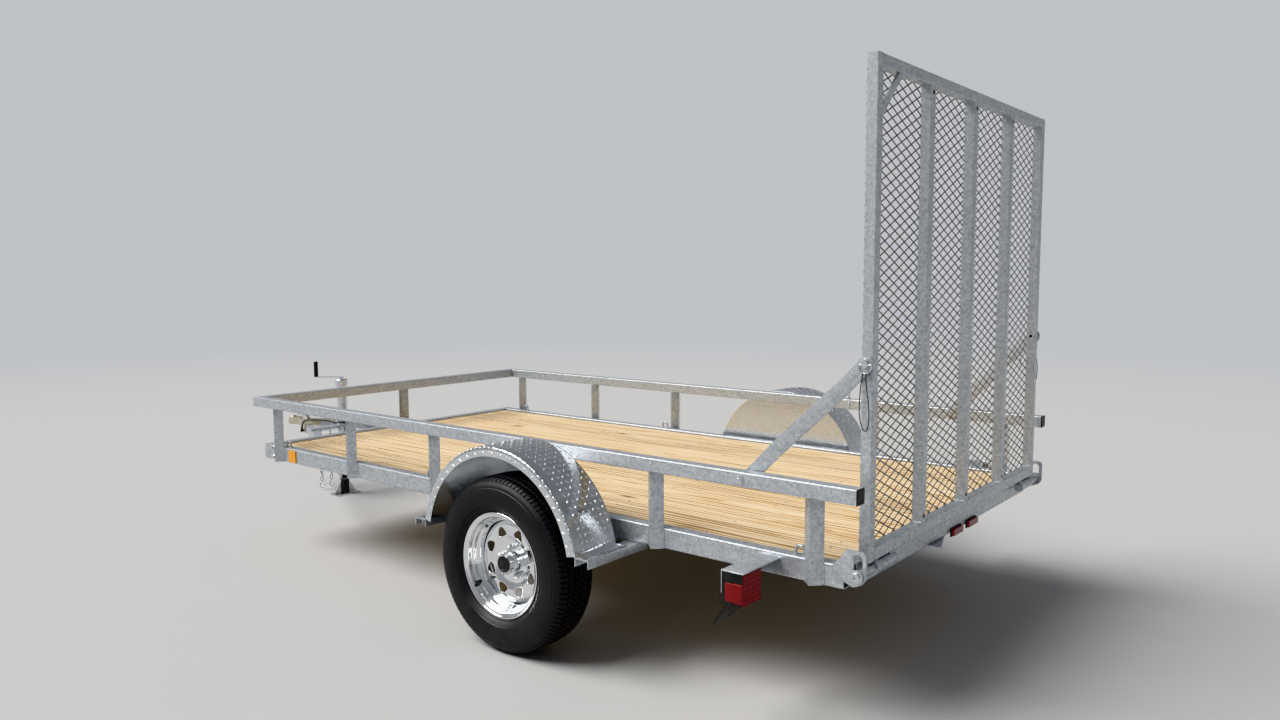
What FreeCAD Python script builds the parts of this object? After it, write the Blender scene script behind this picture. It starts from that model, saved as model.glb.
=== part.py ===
import FreeCAD, Part
import math
import os

# Single-axle utility trailer, level on its wheels and its jack.
# Millimetres. +X points at the coupler, +Y is the left side, +Z is up, the ground is Z = 0.

V = FreeCAD.Vector

# Driving dimensions: wheels and axle
AXLE_X = -1020.0            # axle line
TYRE_R = 344.0
TYRE_W = 205.0
TYRE_BULGE = 65.5           # widest line of the tyre above its seat
AXLE_Z = TYRE_R
RIM_SEAT_R = 190.5
RIM_FLANGE_R = RIM_SEAT_R + 16.5
RIM_W = 150.0
DISC_OFFSET = 23.5          # outer face of the wheel disc beyond the tyre's centre plane
SPINDLE_R = 17.0
BORE_GAP = 0.06
AXLE_R = 30.0

# Frame
FRAME_RISE = 116.0          # underside of the frame above the axle line
FRAME_H = 76.0
FRAME_W = 51.0
FRAME_WALL = 4.0
FRAME_OUT_Y = 893.0         # outer face of the side rails
FRAME_FRONT_X = 1149.0
FRAME_REAR_X = -2330.0      # open rear ends of the side rails
POST_BEHIND_FRONT = (161.0, 828.0)
POST_FROM_AXLE = (701.0, -560.0)
POST_BEFORE_REAR = 104.0
FRAME_LOW_Z = AXLE_Z + FRAME_RISE
FRAME_TOP_Z = FRAME_LOW_Z + FRAME_H
FRAME_IN_Y = FRAME_OUT_Y - FRAME_W
SILL_DEPTH = 60.0
SILL_TAB_Y = (105.0, 257.0)

BOARD_T = 38.0
BOARD_COUNT = 9
BOARD_GAP = 2.6
DECK_DROP = 12.0            # deck below the top of the frame
DECK_TOP_Z = FRAME_TOP_Z - DECK_DROP
CROSS_W = 51.0
CROSS_WALL = 3.0
CROSS_PITCH = 520.0
CROSS_FIRST = 289.0         # behind the front of the frame
CROSS_LAST = 150.0          # before the rear ends of the rails
RING_BEFORE_REAR = 165.0    # tie rings along the side rail
RING_FROM_AXLE = 763.0
RING_BEHIND_FRONT = 213.0
RING_ROD = 4.5
RING_HALF = 18.5

# Top rails and posts
RAIL_TUBE = 51.0
RAIL_WALL = 3.2
RAIL_RISE = 264.0           # top of the rails above the frame
RAIL_STAND_OFF = 7.0        # rail's inner face beyond the frame's outer face
RAIL_OUT_Y = FRAME_OUT_Y + RAIL_STAND_OFF + RAIL_TUBE
RAIL_TOP_Z = FRAME_TOP_Z + RAIL_RISE
RAIL_OVERHANG = 71.0        # rails past the rear ends of the frame
RAIL_REAR_X = FRAME_REAR_X - RAIL_OVERHANG
CAP_T = 4.0                 # flange of the plastic end plug
POST_LEG = 50.8             # angle iron turned corner outward
POST_WALL = 4.8

# Tongue, coupler and jack, laid out back from the ball
SOCKET_X = 2376.0
TONGUE_TUBE = 51.0
TONGUE_WALL = 4.8
TONGUE_HALF_DEG = 25.0
APEX_BACK = 76.0
TONGUE_APEX_X = SOCKET_X - APEX_BACK     # where the outer faces would meet
TUBE_BACK = 276.0
TONGUE_FRONT_X = SOCKET_X - TUBE_BACK    # cut ends, under the coupler
TONGUE_REAR_X = 520.0
TONGUE_TOP_Z = FRAME_LOW_Z
BALL_R = 25.4
COUPLER_T = 4.0
COUPLER_L = 414.0
NOTCH_BACK = 236.0
NECK_BACK = 176.0
COUPLER_REAR_X = SOCKET_X - COUPLER_L
COUPLER_NECK_X = SOCKET_X - NECK_BACK
NOSE_HALF_W = 36.0
DOME_R = 34.0
JACK_BACK = 603.0
JACK_X = SOCKET_X - JACK_BACK
JACK_R = 32.0
JACK_LEG_R = 28.4
JACK_RISE = 308.0
JACK_PLATE_L = 90.0
JACK_PLATE_T = 8.0
JACK_DROP = 230.0
JACK_HEAD_Z = TONGUE_TOP_Z + JACK_RISE
FOOT_T = 8.0
FOOT_L = 93.0               # along the trailer
FOOT_W = 186.0
CRANK_DEG = 39.0            # crank swung to the left of straight ahead
CRANK_L = 166.0
LINK_HALF_L = 21.25         # chain link, outside
LINK_HALF_W = 12.5
LINK_T = 7.0
LINK_COUNT = 11
CHAIN_Y = 36.0
LEAD_R = 4.5
LEAD_Z = TONGUE_TOP_Z - 35.0     # where the lead leaves its gland

# Fenders
FENDER_GAP = 81.0           # tread to arch
FENDER_R = TYRE_R + FENDER_GAP
FENDER_Z = AXLE_Z + 38.0    # centre height of the arch
FENDER_SHEET = 3.0
FENDER_LIP = 38.0
FENDER_FOOT_L = 58.0
FENDER_IN_Y = RAIL_OUT_Y + 3.0
WHEEL_Y = FENDER_IN_Y + FENDER_SHEET + 15.0 + TYRE_W / 2
FENDER_OUT_Y = WHEEL_Y + TYRE_W / 2 + FENDER_SHEET
DISC_Y = WHEEL_Y + DISC_OFFSET
HUB_CAP_END_Y = DISC_Y + 34.0
BEAM_END_Y = WHEEL_Y - 70.5

# Ramp gate
HINGE_X = FRAME_REAR_X - 52.0
HINGE_Z = FRAME_TOP_Z - 19.0
HINGE_PIN_R = 14.9
HINGE_SLOT_R = 15.0
HINGE_SLOT_RISE = 50.0
HINGE_PLATE_T = 8.0
SLEEVE_R = 20.0
SILL_REAR_X = HINGE_X + SLEEVE_R + 12.0
GATE_REAR_X = HINGE_X - 7.0
GATE_TUBE = 38.0
GATE_WALL = 2.6
GATE_HALF_W = FRAME_OUT_Y - 58.0
GATE_BOTTOM_Z = HINGE_Z + 25.0
GATE_H = 1576.0
GATE_TOP_Z = GATE_BOTTOM_Z + GATE_H
MESH_T = 1.5                # one layer of strands
MESH_STRAND = 4.5
MESH_PITCH_Y = 76.0
MESH_PITCH_Z = 34.0

# Support arms
ARM_RUN = 392.0             # pivot bolt to gate pin, along and up
ARM_RISE = 397.5
ARM_PIN_X = GATE_REAR_X + GATE_TUBE / 2
ARM_PIVOT_X = ARM_PIN_X + ARM_RUN
ARM_PIVOT_Z = RAIL_TOP_Z - RAIL_TUBE / 2
ARM_PIN_Z = ARM_PIVOT_Z + ARM_RISE
ARM_W = 50.0
ARM_T = 6.0
ARM_RAIL_Y = RAIL_OUT_Y - RAIL_TUBE - 5.0 - ARM_T
ARM_GATE_Y = GATE_HALF_W + 5.5
ARM_STEP = (110.0, 300.0)   # where the arm steps inward, behind its pivot
ARM_BOLT_R = 6.25
ARM_PIN_R = 6.5
PIN_RING_R = 22.5
PIN_RING_WIRE = 2.0
PIN_RING_DROP = 5.0

# Lamps
LAMP_BEFORE_REAR = 230.0    # rear face of the tail lamps
LAMP_D = 80.0
LAMP_LENS_D = 40.0
LAMP_OUT = 111.0            # inner side beyond the frame
LAMP_W = 112.0
LAMP_H = 108.0
LAMP_DROP = 20.0            # top below the top of the frame
ID_LAMP_Y = (0.0, -160.0)
ID_LAMP_W = 104.0
REFLECTOR_BACK = 310.0
REFLECTOR_L = 65.0
REFLECTOR_H = 62.0


def box(x0, x1, y0, y1, z0, z1):
    return Part.makeBox(x1 - x0, y1 - y0, z1 - z0, V(x0, y0, z0))


def cyl(p, d, r, length):
    return Part.makeCylinder(r, length, V(*p), V(*d))


def cyl_y(x, y0, y1, z, r):
    return cyl((x, y0, z), (0, 1, 0), r, y1 - y0)


def cyl_z(x, y, z0, z1, r):
    return cyl((x, y, z0), (0, 0, 1), r, z1 - z0)


def cyl_x(x0, x1, y, z, r):
    return cyl((x0, y, z), (1, 0, 0), r, x1 - x0)


def prism(points, axis, a, b):
    """Extrude a closed outline along one axis; the points hold the other two coordinates."""
    if axis == "x":
        p = [V(a, u, v) for u, v in points]
        d = V(b - a, 0, 0)
    elif axis == "y":
        p = [V(u, a, v) for u, v in points]
        d = V(0, b - a, 0)
    else:
        p = [V(u, v, a) for u, v in points]
        d = V(0, 0, b - a)
    p.append(p[0])
    return Part.Face(Part.makePolygon(p)).extrude(d)


def mirror_y(shape):
    return shape.mirror(V(0, 0, 0), V(0, 1, 0))


def round_long_edges(bar, direction, wall):
    """Rolled tube has an outside corner of one and a half walls."""
    along = V(*direction).normalize()
    edges = [e for e in bar.Edges if abs(e.tangentAt(e.FirstParameter).dot(along)) > 0.999]
    return bar.makeFillet(1.5 * wall, edges)


def tube_x(x0, x1, y0, y1, z0, z1, wall):
    inner = box(x0 - 1, x1 + 1, y0 + wall, y1 - wall, z0 + wall, z1 - wall)
    return round_long_edges(box(x0, x1, y0, y1, z0, z1), (1, 0, 0), wall).cut(inner)


def tube_y(x0, x1, y0, y1, z0, z1, wall):
    inner = box(x0 + wall, x1 - wall, y0 - 1, y1 + 1, z0 + wall, z1 - wall)
    return round_long_edges(box(x0, x1, y0, y1, z0, z1), (0, 1, 0), wall).cut(inner)


def tube_z(x0, x1, y0, y1, z0, z1, wall):
    inner = box(x0 + wall, x1 - wall, y0 + wall, y1 - wall, z0 - 1, z1 + 1)
    return round_long_edges(box(x0, x1, y0, y1, z0, z1), (0, 0, 1), wall).cut(inner)


def fuse(shapes):
    out = shapes[0]
    for s in shapes[1:]:
        out = out.fuse(s)
    return out.removeSplitter()


def revolve_y(points, x, z, deg=360.0, start=0.0):
    """Turn an outline of (radius, y) points about the line along Y through x, z."""
    p = [V(x + r, y, z) for r, y in points]
    p.append(p[0])
    face = Part.Face(Part.makePolygon(p))
    if start:
        face.rotate(V(x, 0, z), V(0, 1, 0), -start)
    return face.revolve(V(x, 0, z), V(0, -1, 0), deg)


def hoop(centre, radius, wire, deg=360.0):
    """Bent eight-sided wire that stands along the trailer, turned up from its front end."""
    x, y, z = centre
    corners = [math.radians(22.5 + 45 * i) for i in range(9)]
    section = [V(x + radius + wire * math.cos(a), y + wire * math.sin(a), z) for a in corners]
    section[-1] = section[0]
    return Part.Face(Part.makePolygon(section)).revolve(V(x, y, z), V(0, -1, 0), deg)


def link(x, y, z, across):
    """Flat chain link standing upright, its opening towards 'across'."""
    a, b, t = LINK_HALF_W, LINK_HALF_L, LINK_T
    c = t
    u, v = (x, y) if across == "y" else (y, x)
    ring = prism([(u - a, z - b + c), (u - a + c, z - b), (u + a - c, z - b), (u + a, z - b + c),
                  (u + a, z + b - c), (u + a - c, z + b), (u - a + c, z + b), (u - a, z + b - c)],
                 across, v - t / 2, v + t / 2)
    hole = [(u - a + t, z - b + t), (u + a - t, z - b + t), (u + a - t, z + b - t), (u - a + t, z + b - t)]
    return ring.cut(prism(hole, across, v - t, v + t))


# Frame
def side_rail():
    return tube_x(FRAME_REAR_X, FRAME_FRONT_X - FRAME_W, FRAME_IN_Y, FRAME_OUT_Y,
                  FRAME_LOW_Z, FRAME_TOP_Z, FRAME_WALL)


def front_sill():
    return tube_y(FRAME_FRONT_X - FRAME_W, FRAME_FRONT_X, -FRAME_OUT_Y, FRAME_OUT_Y,
                  FRAME_LOW_Z, FRAME_TOP_Z, FRAME_WALL)


def rear_sill():
    """Rear tube of the frame, with the slanted plate welded under it on the left."""
    x, z = SILL_REAR_X, FRAME_LOW_Z
    sill = tube_y(x, x + SILL_DEPTH, -FRAME_IN_Y, FRAME_IN_Y, z, FRAME_TOP_Z, FRAME_WALL)
    y0, y1 = SILL_TAB_Y
    tab = prism([(x + 45, y0), (x + 45, y1), (x - 45, y1), (x + 2, y0)], "z", z - 5, z)
    return fuse([sill, tab])


def cross_stations():
    x, found = FRAME_FRONT_X - CROSS_FIRST, []
    while x > FRAME_REAR_X + CROSS_LAST + CROSS_PITCH / 2:
        found.append(x)
        x -= CROSS_PITCH
    return found + [FRAME_REAR_X + CROSS_LAST]


def crossmembers():
    top = DECK_TOP_Z - BOARD_T
    return [tube_y(x - CROSS_W / 2, x + CROSS_W / 2, -FRAME_IN_Y, FRAME_IN_Y,
                   FRAME_LOW_Z, top, CROSS_WALL) for x in cross_stations()]


def deck_boards():
    inner_y = FRAME_IN_Y - BOARD_GAP
    pitch = 2 * inner_y / BOARD_COUNT
    x0 = SILL_REAR_X + SILL_DEPTH + 0.5
    x1 = FRAME_FRONT_X - FRAME_W - 0.5
    boards = []
    for i in range(BOARD_COUNT):
        y0 = -inner_y + i * pitch + BOARD_GAP / 2
        b = box(x0, x1, y0, y0 + pitch - BOARD_GAP, DECK_TOP_Z - BOARD_T, DECK_TOP_Z)
        long_top = [e for e in b.Edges if e.Length > 1000 and e.CenterOfMass.z > DECK_TOP_Z - 1]
        boards.append(b.makeFillet(3.0, long_top))
    return boards


# Top rails and posts
def top_rail_left():
    rail = tube_x(RAIL_REAR_X + CAP_T, FRAME_FRONT_X, RAIL_OUT_Y - RAIL_TUBE, RAIL_OUT_Y,
                  RAIL_TOP_Z - RAIL_TUBE, RAIL_TOP_Z, RAIL_WALL)
    x, y = FRAME_FRONT_X, RAIL_OUT_Y
    t = RAIL_TUBE
    waste = prism([(x, y), (x + 20, y), (x + 20, y - t - 20), (x - t - 20, y - t - 20)],
                  "z", RAIL_TOP_Z - t - 5, RAIL_TOP_Z + 5)
    rail = rail.cut(waste)
    return rail.cut(cyl_y(ARM_PIVOT_X, RAIL_OUT_Y - RAIL_TUBE - 5, RAIL_OUT_Y + 5, ARM_PIVOT_Z, ARM_BOLT_R))


def top_rail_front():
    rail = tube_y(FRAME_FRONT_X - RAIL_TUBE, FRAME_FRONT_X, -RAIL_OUT_Y, RAIL_OUT_Y,
                  RAIL_TOP_Z - RAIL_TUBE, RAIL_TOP_Z, RAIL_WALL)
    x, y, t = FRAME_FRONT_X, RAIL_OUT_Y, RAIL_TUBE
    waste = prism([(x, y), (x, y + 20), (x - t - 20, y + 20), (x - t - 20, y - t - 20)],
                  "z", RAIL_TOP_Z - t - 5, RAIL_TOP_Z + 5)
    return rail.cut(waste).cut(mirror_y(waste))


def angle_section(cx, cy, dx, dy):
    """Outline of an angle iron with its corner pointing along (dx, dy) and its toes on a flat face."""
    c = POST_LEG * math.sqrt(0.5)
    t = POST_WALL * math.sqrt(2.0)
    local = [(-c, 0), (0, c), (c, 0), (c - t, 0), (0, c - t), (t - c, 0)]
    return [(cx + a * dy + b * dx, cy + a * dx + b * dy) for a, b in local]


POST_X = ([FRAME_FRONT_X - d for d in POST_BEHIND_FRONT] + [AXLE_X + d for d in POST_FROM_AXLE]
          + [FRAME_REAR_X + POST_BEFORE_REAR])


def posts_left():
    z0, z1 = FRAME_LOW_Z, RAIL_TOP_Z - RAIL_TUBE
    return [prism(angle_section(x, FRAME_OUT_Y, 0, 1), "z", z0, z1) for x in POST_X]


def post_front():
    """It stands on the front sill, because the front rail is no further out than the sill."""
    corner = POST_LEG * math.sqrt(0.5)
    z0, z1 = FRAME_TOP_Z, RAIL_TOP_Z - RAIL_TUBE
    return prism(angle_section(FRAME_FRONT_X - corner - 7.0, 0.0, 1, 0), "z", z0, z1)


def rail_cap():
    y0, y1 = RAIL_OUT_Y - RAIL_TUBE, RAIL_OUT_Y
    z0, z1 = RAIL_TOP_Z - RAIL_TUBE, RAIL_TOP_Z
    flange = box(RAIL_REAR_X, RAIL_REAR_X + CAP_T, y0, y1, z0, z1)
    rear = [e for e in flange.Edges if abs(e.CenterOfMass.x - RAIL_REAR_X) < 0.1]
    flange = flange.makeFillet(2.5, rear)
    w = RAIL_WALL
    plug = box(RAIL_REAR_X + CAP_T, RAIL_REAR_X + CAP_T + 18, y0 + w, y1 - w, z0 + w, z1 - w)
    return fuse([flange, plug])


# Tongue
TONGUE_K = math.tan(math.radians(TONGUE_HALF_DEG))
TONGUE_ACROSS = TONGUE_TUBE / math.cos(math.radians(TONGUE_HALF_DEG))


def tongue_y(x):
    """Outer face of the left tongue tube at a station along the trailer."""
    return (TONGUE_APEX_X - x) * TONGUE_K


def tongue_strip(x0, x1, inset0, inset1):
    """Plan of a strip along the left tongue tube, between two insets from its outer face."""
    c = math.cos(math.radians(TONGUE_HALF_DEG))
    return [(x0, tongue_y(x0) - inset0 / c), (x0, tongue_y(x0) - inset1 / c),
            (x1, tongue_y(x1) - inset1 / c), (x1, tongue_y(x1) - inset0 / c)]


def tongue_left():
    z0, z1 = TONGUE_TOP_Z - TONGUE_TUBE, TONGUE_TOP_Z
    w, t = TONGUE_TUBE, TONGUE_WALL
    body = prism(tongue_strip(TONGUE_REAR_X, TONGUE_FRONT_X, 0.0, w), "z", z0, z1)
    body = round_long_edges(body, (1, -TONGUE_K, 0), t)
    core = prism(tongue_strip(TONGUE_REAR_X - 5, TONGUE_FRONT_X + 5, t, w - t), "z", z0 + t, z1 - t)
    return body.cut(core)


def coupler():
    """Top plate and side wings over the tongue tubes, neck and ball socket."""
    t = COUPLER_T
    z0, z1 = TONGUE_TOP_Z - TONGUE_TUBE, TONGUE_TOP_Z
    rear, neck = COUPLER_REAR_X, COUPLER_NECK_X
    wing = prism(tongue_strip(rear, neck, -t, 0.0), "z", z0, z1)
    half = NOSE_HALF_W
    slant = t / math.cos(math.radians(TONGUE_HALF_DEG))
    side = prism([(neck, tongue_y(neck)), (neck, tongue_y(neck) + slant), (neck + 60, half),
                  (SOCKET_X, half), (SOCKET_X, half - t), (neck + 60, half - t)], "z", z0 + 12.0, z1)
    a, b = tongue_y(rear) + t, tongue_y(rear) - TONGUE_ACROSS
    plan = [(rear, a), (neck, tongue_y(neck) + t), (neck + 60, half), (SOCKET_X, half)]
    tip = SOCKET_X - NOTCH_BACK
    notch = [(tip, -18.0), (tip, 18.0), (rear, b)]
    outline = plan + [(x, -y) for x, y in plan[::-1]] + [(rear, -b)] + notch
    plate = prism(outline, "z", z1, z1 + t)
    zc = TONGUE_TOP_Z - 20.0
    dome = Part.makeSphere(DOME_R, V(SOCKET_X, 0, zc))
    collar = cyl_z(SOCKET_X, 0, z0 + 6.0, zc, DOME_R)
    dome = dome.common(box(SOCKET_X - 60, SOCKET_X + 60, -60, 60, zc, zc + 60))
    body = fuse([plate, wing, mirror_y(wing), side, mirror_y(side), dome, collar])
    socket = Part.makeSphere(BALL_R + 0.6, V(SOCKET_X, 0, zc))
    return body.cut(socket).cut(cyl_z(SOCKET_X, 0, z0 - 5.0, zc, BALL_R + 0.6))


def coupler_latch():
    x, z = SOCKET_X, TONGUE_TOP_Z + COUPLER_T
    # back from the ball, up from the plate
    lever = ((186, 0), (190, 10), (176, 22), (114, 30), (58, 24), (56, 17), (114, 22), (140, 12), (136, 0))
    return prism([(x - back, z + up) for back, up in lever], "y", -10.0, 10.0)


def safety_chains():
    """Cross bar under the tongue tubes, with two chains that end in hooks just clear of the ground."""
    t, pitch = LINK_T, 2 * (LINK_HALF_L - LINK_T)
    x, z = TONGUE_FRONT_X - 113.0, TONGUE_TOP_Z - TONGUE_TUBE
    y = tongue_y(x)
    chains = [box(x - t / 2, x + t / 2, -y, y, z - 8, z)]
    for side in (-1, 1):
        y = side * CHAIN_Y
        top = z - LINK_HALF_L + t
        for i in range(LINK_COUNT):
            chains.append(link(x, y, top - i * pitch, "x" if i % 2 else "y"))
        eye = top - LINK_COUNT * pitch
        chains.append(link(x, y, eye, "x" if LINK_COUNT % 2 else "y"))
        low = eye - LINK_HALF_L
        # across from the chain, up from the eye's lower edge
        hook = ((4, 1), (13, -6), (17, -22), (12, -40), (0, -49), (-15, -45), (-22, -30), (-17, -26),
                (-11, -37), (0, -41), (7, -33), (9, -20), (5, -9), (-4, 1))
        chains.append(prism([(y + dy, low + dz) for dy, dz in hook], "x", x - t / 2, x + t / 2))
    return fuse(chains)


# Wiring lead over the tongue, once round the jack, its plug left between the tubes
LEAD_START = (TONGUE_FRONT_X - 66.0, tongue_y(TONGUE_FRONT_X - 66.0) + 19.0, LEAD_Z)
# from the ball, across, height above the start
LEAD_ROUTE = ((-354.2, 137.3, 50.4), (-375.5, 127.5, 63.9), (-414.0, 105.0, 67.0), (-471.0, 76.0, 66.5),
              (-526.0, 56.0, 63.5), (-575.0, 51.5, 61.0), (-621.7, 51.5, 60.0), (-653.5, 21.3, 59.0),
              (-653.5, -21.3, 58.0), (-623.7, -50.5, 56.0), (-576.0, -51.0, 52.0), (-526.0, -45.0, 45.0),
              (-486.0, -36.0, 35.0), (-453.0, -27.0, 24.0), (-426.0, -18.0, 11.5))


def lead_points():
    x, y, z = LEAD_START
    return [V(x, y, z), V(x, y, z + 27.0)] + [V(SOCKET_X + dx, yy, z + dz) for dx, yy, dz in LEAD_ROUTE]


def wiring_lead():
    """Round cable on straight runs joined by arcs, each as large as its two runs allow."""
    p = lead_points()
    edges, last, radii = [], p[0], []
    for a, b, c in zip(p, p[1:], p[2:]):
        into, away = b.sub(a), c.sub(b)
        half = into.getAngle(away) / 2
        back = 0.45 * min(into.Length, away.Length)
        radii.append(back / math.tan(half))
        into.normalize()
        away.normalize()
        start, end = b.sub(into * back), b.add(away * back)
        chord = end.sub(start) * 0.5
        sagitta = chord.Length * math.tan(half / 2)
        inward = away.sub(into).normalize()
        middle = start.add(chord).sub(inward * sagitta)
        edges += [Part.LineSegment(last, start).toShape(), Part.Arc(start, middle, end).toShape()]
        last = end
    edges.append(Part.LineSegment(last, p[-1]).toShape())
    path = Part.Wire(edges)
    section = Part.Wire([Part.makeCircle(LEAD_R, p[0], p[1].sub(p[0]))])
    cable = path.makePipeShell([section], True, False)
    print("lead radii", [round(r) for r in radii], "length", round(path.Length, 1),
          "volume against section", round(cable.Volume / (math.pi * LEAD_R ** 2 * path.Length), 4))
    return cable


def lead_gland():
    """Block on the outer face of the coupler's left wing, with the collar the lead leaves by."""
    x, y, z = LEAD_START
    block = prism(tongue_strip(x - 12, x + 12, -COUPLER_T, -COUPLER_T - 23.0), "z", z - 15.0, z - 5.0)
    return fuse([block, cyl_z(x, y, z - 5.0, z, 8.0)])


def lead_plug():
    """Plug on the end of the lead."""
    p = lead_points()
    along = p[-1].sub(p[-2]).normalize()
    grip = cyl(p[-1], along, 8.0, 12.0)
    body = cyl(p[-1].add(along * 10.0), along, 11.0, 28.0)
    rim = [e for e in body.Edges if e.Curve.TypeId == "Part::GeomCircle"]
    return fuse([grip, body.makeChamfer(1.5, rim)])


# Jack between the tongue tubes
def jack_mount():
    x0, x1 = JACK_X - JACK_PLATE_L / 2, JACK_X + JACK_PLATE_L / 2
    y0, y1 = tongue_y(x0) - 6, tongue_y(x1) - 6
    z, t = TONGUE_TOP_Z, JACK_PLATE_T
    plate = prism([(x0, -y0), (x0, y0), (x1, y1), (x1, -y1)], "z", z, z + t)
    return plate.cut(cyl_z(JACK_X, 0, z - 1, z + t + 1, JACK_R))


def jack_body():
    low, z = TONGUE_TOP_Z - JACK_DROP, TONGUE_TOP_Z + JACK_PLATE_T
    shoulder = JACK_HEAD_Z - 38.0
    tube = cyl_z(JACK_X, 0, low, shoulder, JACK_R).cut(cyl_z(JACK_X, 0, low - 1, shoulder - 30, JACK_LEG_R))
    collar = cyl_z(JACK_X, 0, z, z + 12.0, JACK_R + 9.0)
    collar = collar.cut(cyl_z(JACK_X, 0, z - 1, z + 13.0, JACK_R - 1.0))
    head = cyl_z(JACK_X, 0, shoulder, JACK_HEAD_Z, JACK_R + 7.0)
    head = head.makeChamfer(5.0, [e for e in head.Edges if abs(e.CenterOfMass.z - JACK_HEAD_Z) < 0.1])
    return fuse([tube, collar, head])


def jack_leg():
    top = TONGUE_TOP_Z - 30.0
    leg = cyl_z(JACK_X, 0, FOOT_T, top, JACK_LEG_R)
    return leg.cut(cyl_z(JACK_X, 0, FOOT_T + 4.0, top + 1, JACK_LEG_R - 3.0))


def jack_foot():
    x, a, b = JACK_X, FOOT_L / 2, FOOT_W / 2
    foot = box(x - a, x + a, -b, b, 0.0, FOOT_T)
    foot = foot.makeFillet(10.0, [e for e in foot.Edges if abs(e.Length - FOOT_T) < 0.1])
    rib = prism([(JACK_LEG_R, FOOT_T), (b - 12, FOOT_T), (JACK_LEG_R, 92.0)], "x", x - 2.5, x + 2.5)
    ribs = fuse([rib, mirror_y(rib)])
    return fuse([foot, ribs.cut(cyl_z(x, 0, 0, 200, JACK_LEG_R))])


def crank_point(reach, side):
    """Plan position along the crank and to its left."""
    d = math.radians(CRANK_DEG)
    return (JACK_X + reach * math.cos(d) - side * math.sin(d), reach * math.sin(d) + side * math.cos(d))


def jack_crank():
    z = JACK_HEAD_Z
    post = cyl_z(JACK_X, 0, z, z + 12.0, 9.0)
    end = CRANK_L + 10
    corners = [crank_point(reach, side) for reach, side in ((-14, 9), (end, 9), (end, -9), (-14, -9))]
    return fuse([post, prism(corners, "z", z + 12.0, z + 17.0)])


def jack_grip():
    x, y = crank_point(CRANK_L, 0)
    grip = cyl_z(x, y, JACK_HEAD_Z + 17.0, JACK_HEAD_Z + 117.0, 13.0)
    return grip.makeChamfer(2.5, [e for e in grip.Edges if e.Curve.TypeId == "Part::GeomCircle"])


# Axle and springs
SPRING_Y = FRAME_OUT_Y - FRAME_W / 2
SPRING_W = 45.0
SPRING_EYE = 320.0          # half the span between the eyes
EYE_Z = AXLE_Z + 64.0
EYE_BOLT_R = 7.0
LEAF_T = 7.0
SEAT_H = 6.0                # spring seat on the beam
U_BOLT_R = 5.5
CLAMP_T = 8.0
CLAMP_L = 100.0
CLAMP_W = 80.0


def axle_beam():
    beam = cyl_y(AXLE_X, -BEAM_END_Y, BEAM_END_Y, AXLE_Z, AXLE_R)
    end = DISC_Y + 2.0
    spindle = cyl_y(AXLE_X, -end, end, AXLE_Z, SPINDLE_R)
    y = SPRING_W / 2 - 0.5
    seats = [box(AXLE_X - 40, AXLE_X + 40, s * SPRING_Y - y, s * SPRING_Y + y, AXLE_Z + AXLE_R - 6,
                 AXLE_Z + AXLE_R + SEAT_H) for s in (-1, 1)]
    return fuse([beam, spindle] + seats)


def leaf_spring():
    """Main leaf rolled into the eyes, with two shorter leaves under it."""
    z = AXLE_Z + AXLE_R + SEAT_H
    flat = 60.0
    rise = EYE_Z - 12 - (z + 2 * LEAF_T)
    y0, y1 = SPRING_Y - SPRING_W / 2, SPRING_Y + SPRING_W / 2
    leaves = []
    for half, layer in ((SPRING_EYE, 2), (210.0, 1), (120.0, 0)):
        low, high = [], []
        for x in (-half, -(half + flat) / 2, -flat, flat, (half + flat) / 2, half):
            bend = max(abs(x) - flat, 0.0) / (SPRING_EYE - flat)
            zz = z + layer * LEAF_T + rise * bend ** 2
            low.append((AXLE_X + x, zz))
            high.append((AXLE_X + x, zz + LEAF_T))
        leaves.append(prism(low + high[::-1], "y", y0, y1))
    eyes = [cyl_y(AXLE_X + s * SPRING_EYE, y0, y1, EYE_Z, 16.0) for s in (-1, 1)]
    body = fuse(leaves + eyes)
    for s in (-1, 1):
        body = body.cut(cyl_y(AXLE_X + s * SPRING_EYE, y0 - 1, y1 + 1, EYE_Z, EYE_BOLT_R + 0.3))
    return body


def spring_hangers():
    """Two U hangers with their eye bolts, welded under the side rail."""
    out = []
    top, t = FRAME_LOW_Z, 6.0
    w = SPRING_W / 2 + 1.0
    for s in (-1, 1):
        x = AXLE_X + s * SPRING_EYE
        plates = []
        for side in (-1, 1):
            ya, yb = sorted((SPRING_Y + side * w, SPRING_Y + side * (w + t)))
            plates.append(prism([(x - 34, top), (x + 34, top), (x + 20, EYE_Z - 20), (x - 20, EYE_Z - 20)],
                                "y", ya, yb))
        web = box(x - 34, x + 34, SPRING_Y - w - t, SPRING_Y + w + t, top - t, top)
        bolt = cyl_y(x, SPRING_Y - w - 14, SPRING_Y + w + 14, EYE_Z, EYE_BOLT_R)
        out.append(fuse(plates + [web, bolt]))
    return out


def u_bolts():
    z0, z1 = AXLE_Z - AXLE_R, AXLE_Z + AXLE_R + SEAT_H + 3 * LEAF_T
    out = []
    for dx in (-1, 1):
        for dy in (-1, 1):
            x = AXLE_X + dx * (AXLE_R + U_BOLT_R + 0.5)
            y = SPRING_Y + dy * (SPRING_W / 2 + U_BOLT_R + 0.5)
            out.append(cyl_z(x, y, z0 - CLAMP_T - 4, z1 + CLAMP_T + 13, U_BOLT_R))
    a, b = CLAMP_L / 2, CLAMP_W / 2
    for z in (z0 - CLAMP_T, z1):
        out.append(box(AXLE_X - a, AXLE_X + a, SPRING_Y - b, SPRING_Y + b, z, z + CLAMP_T))
    return fuse(out)


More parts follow.
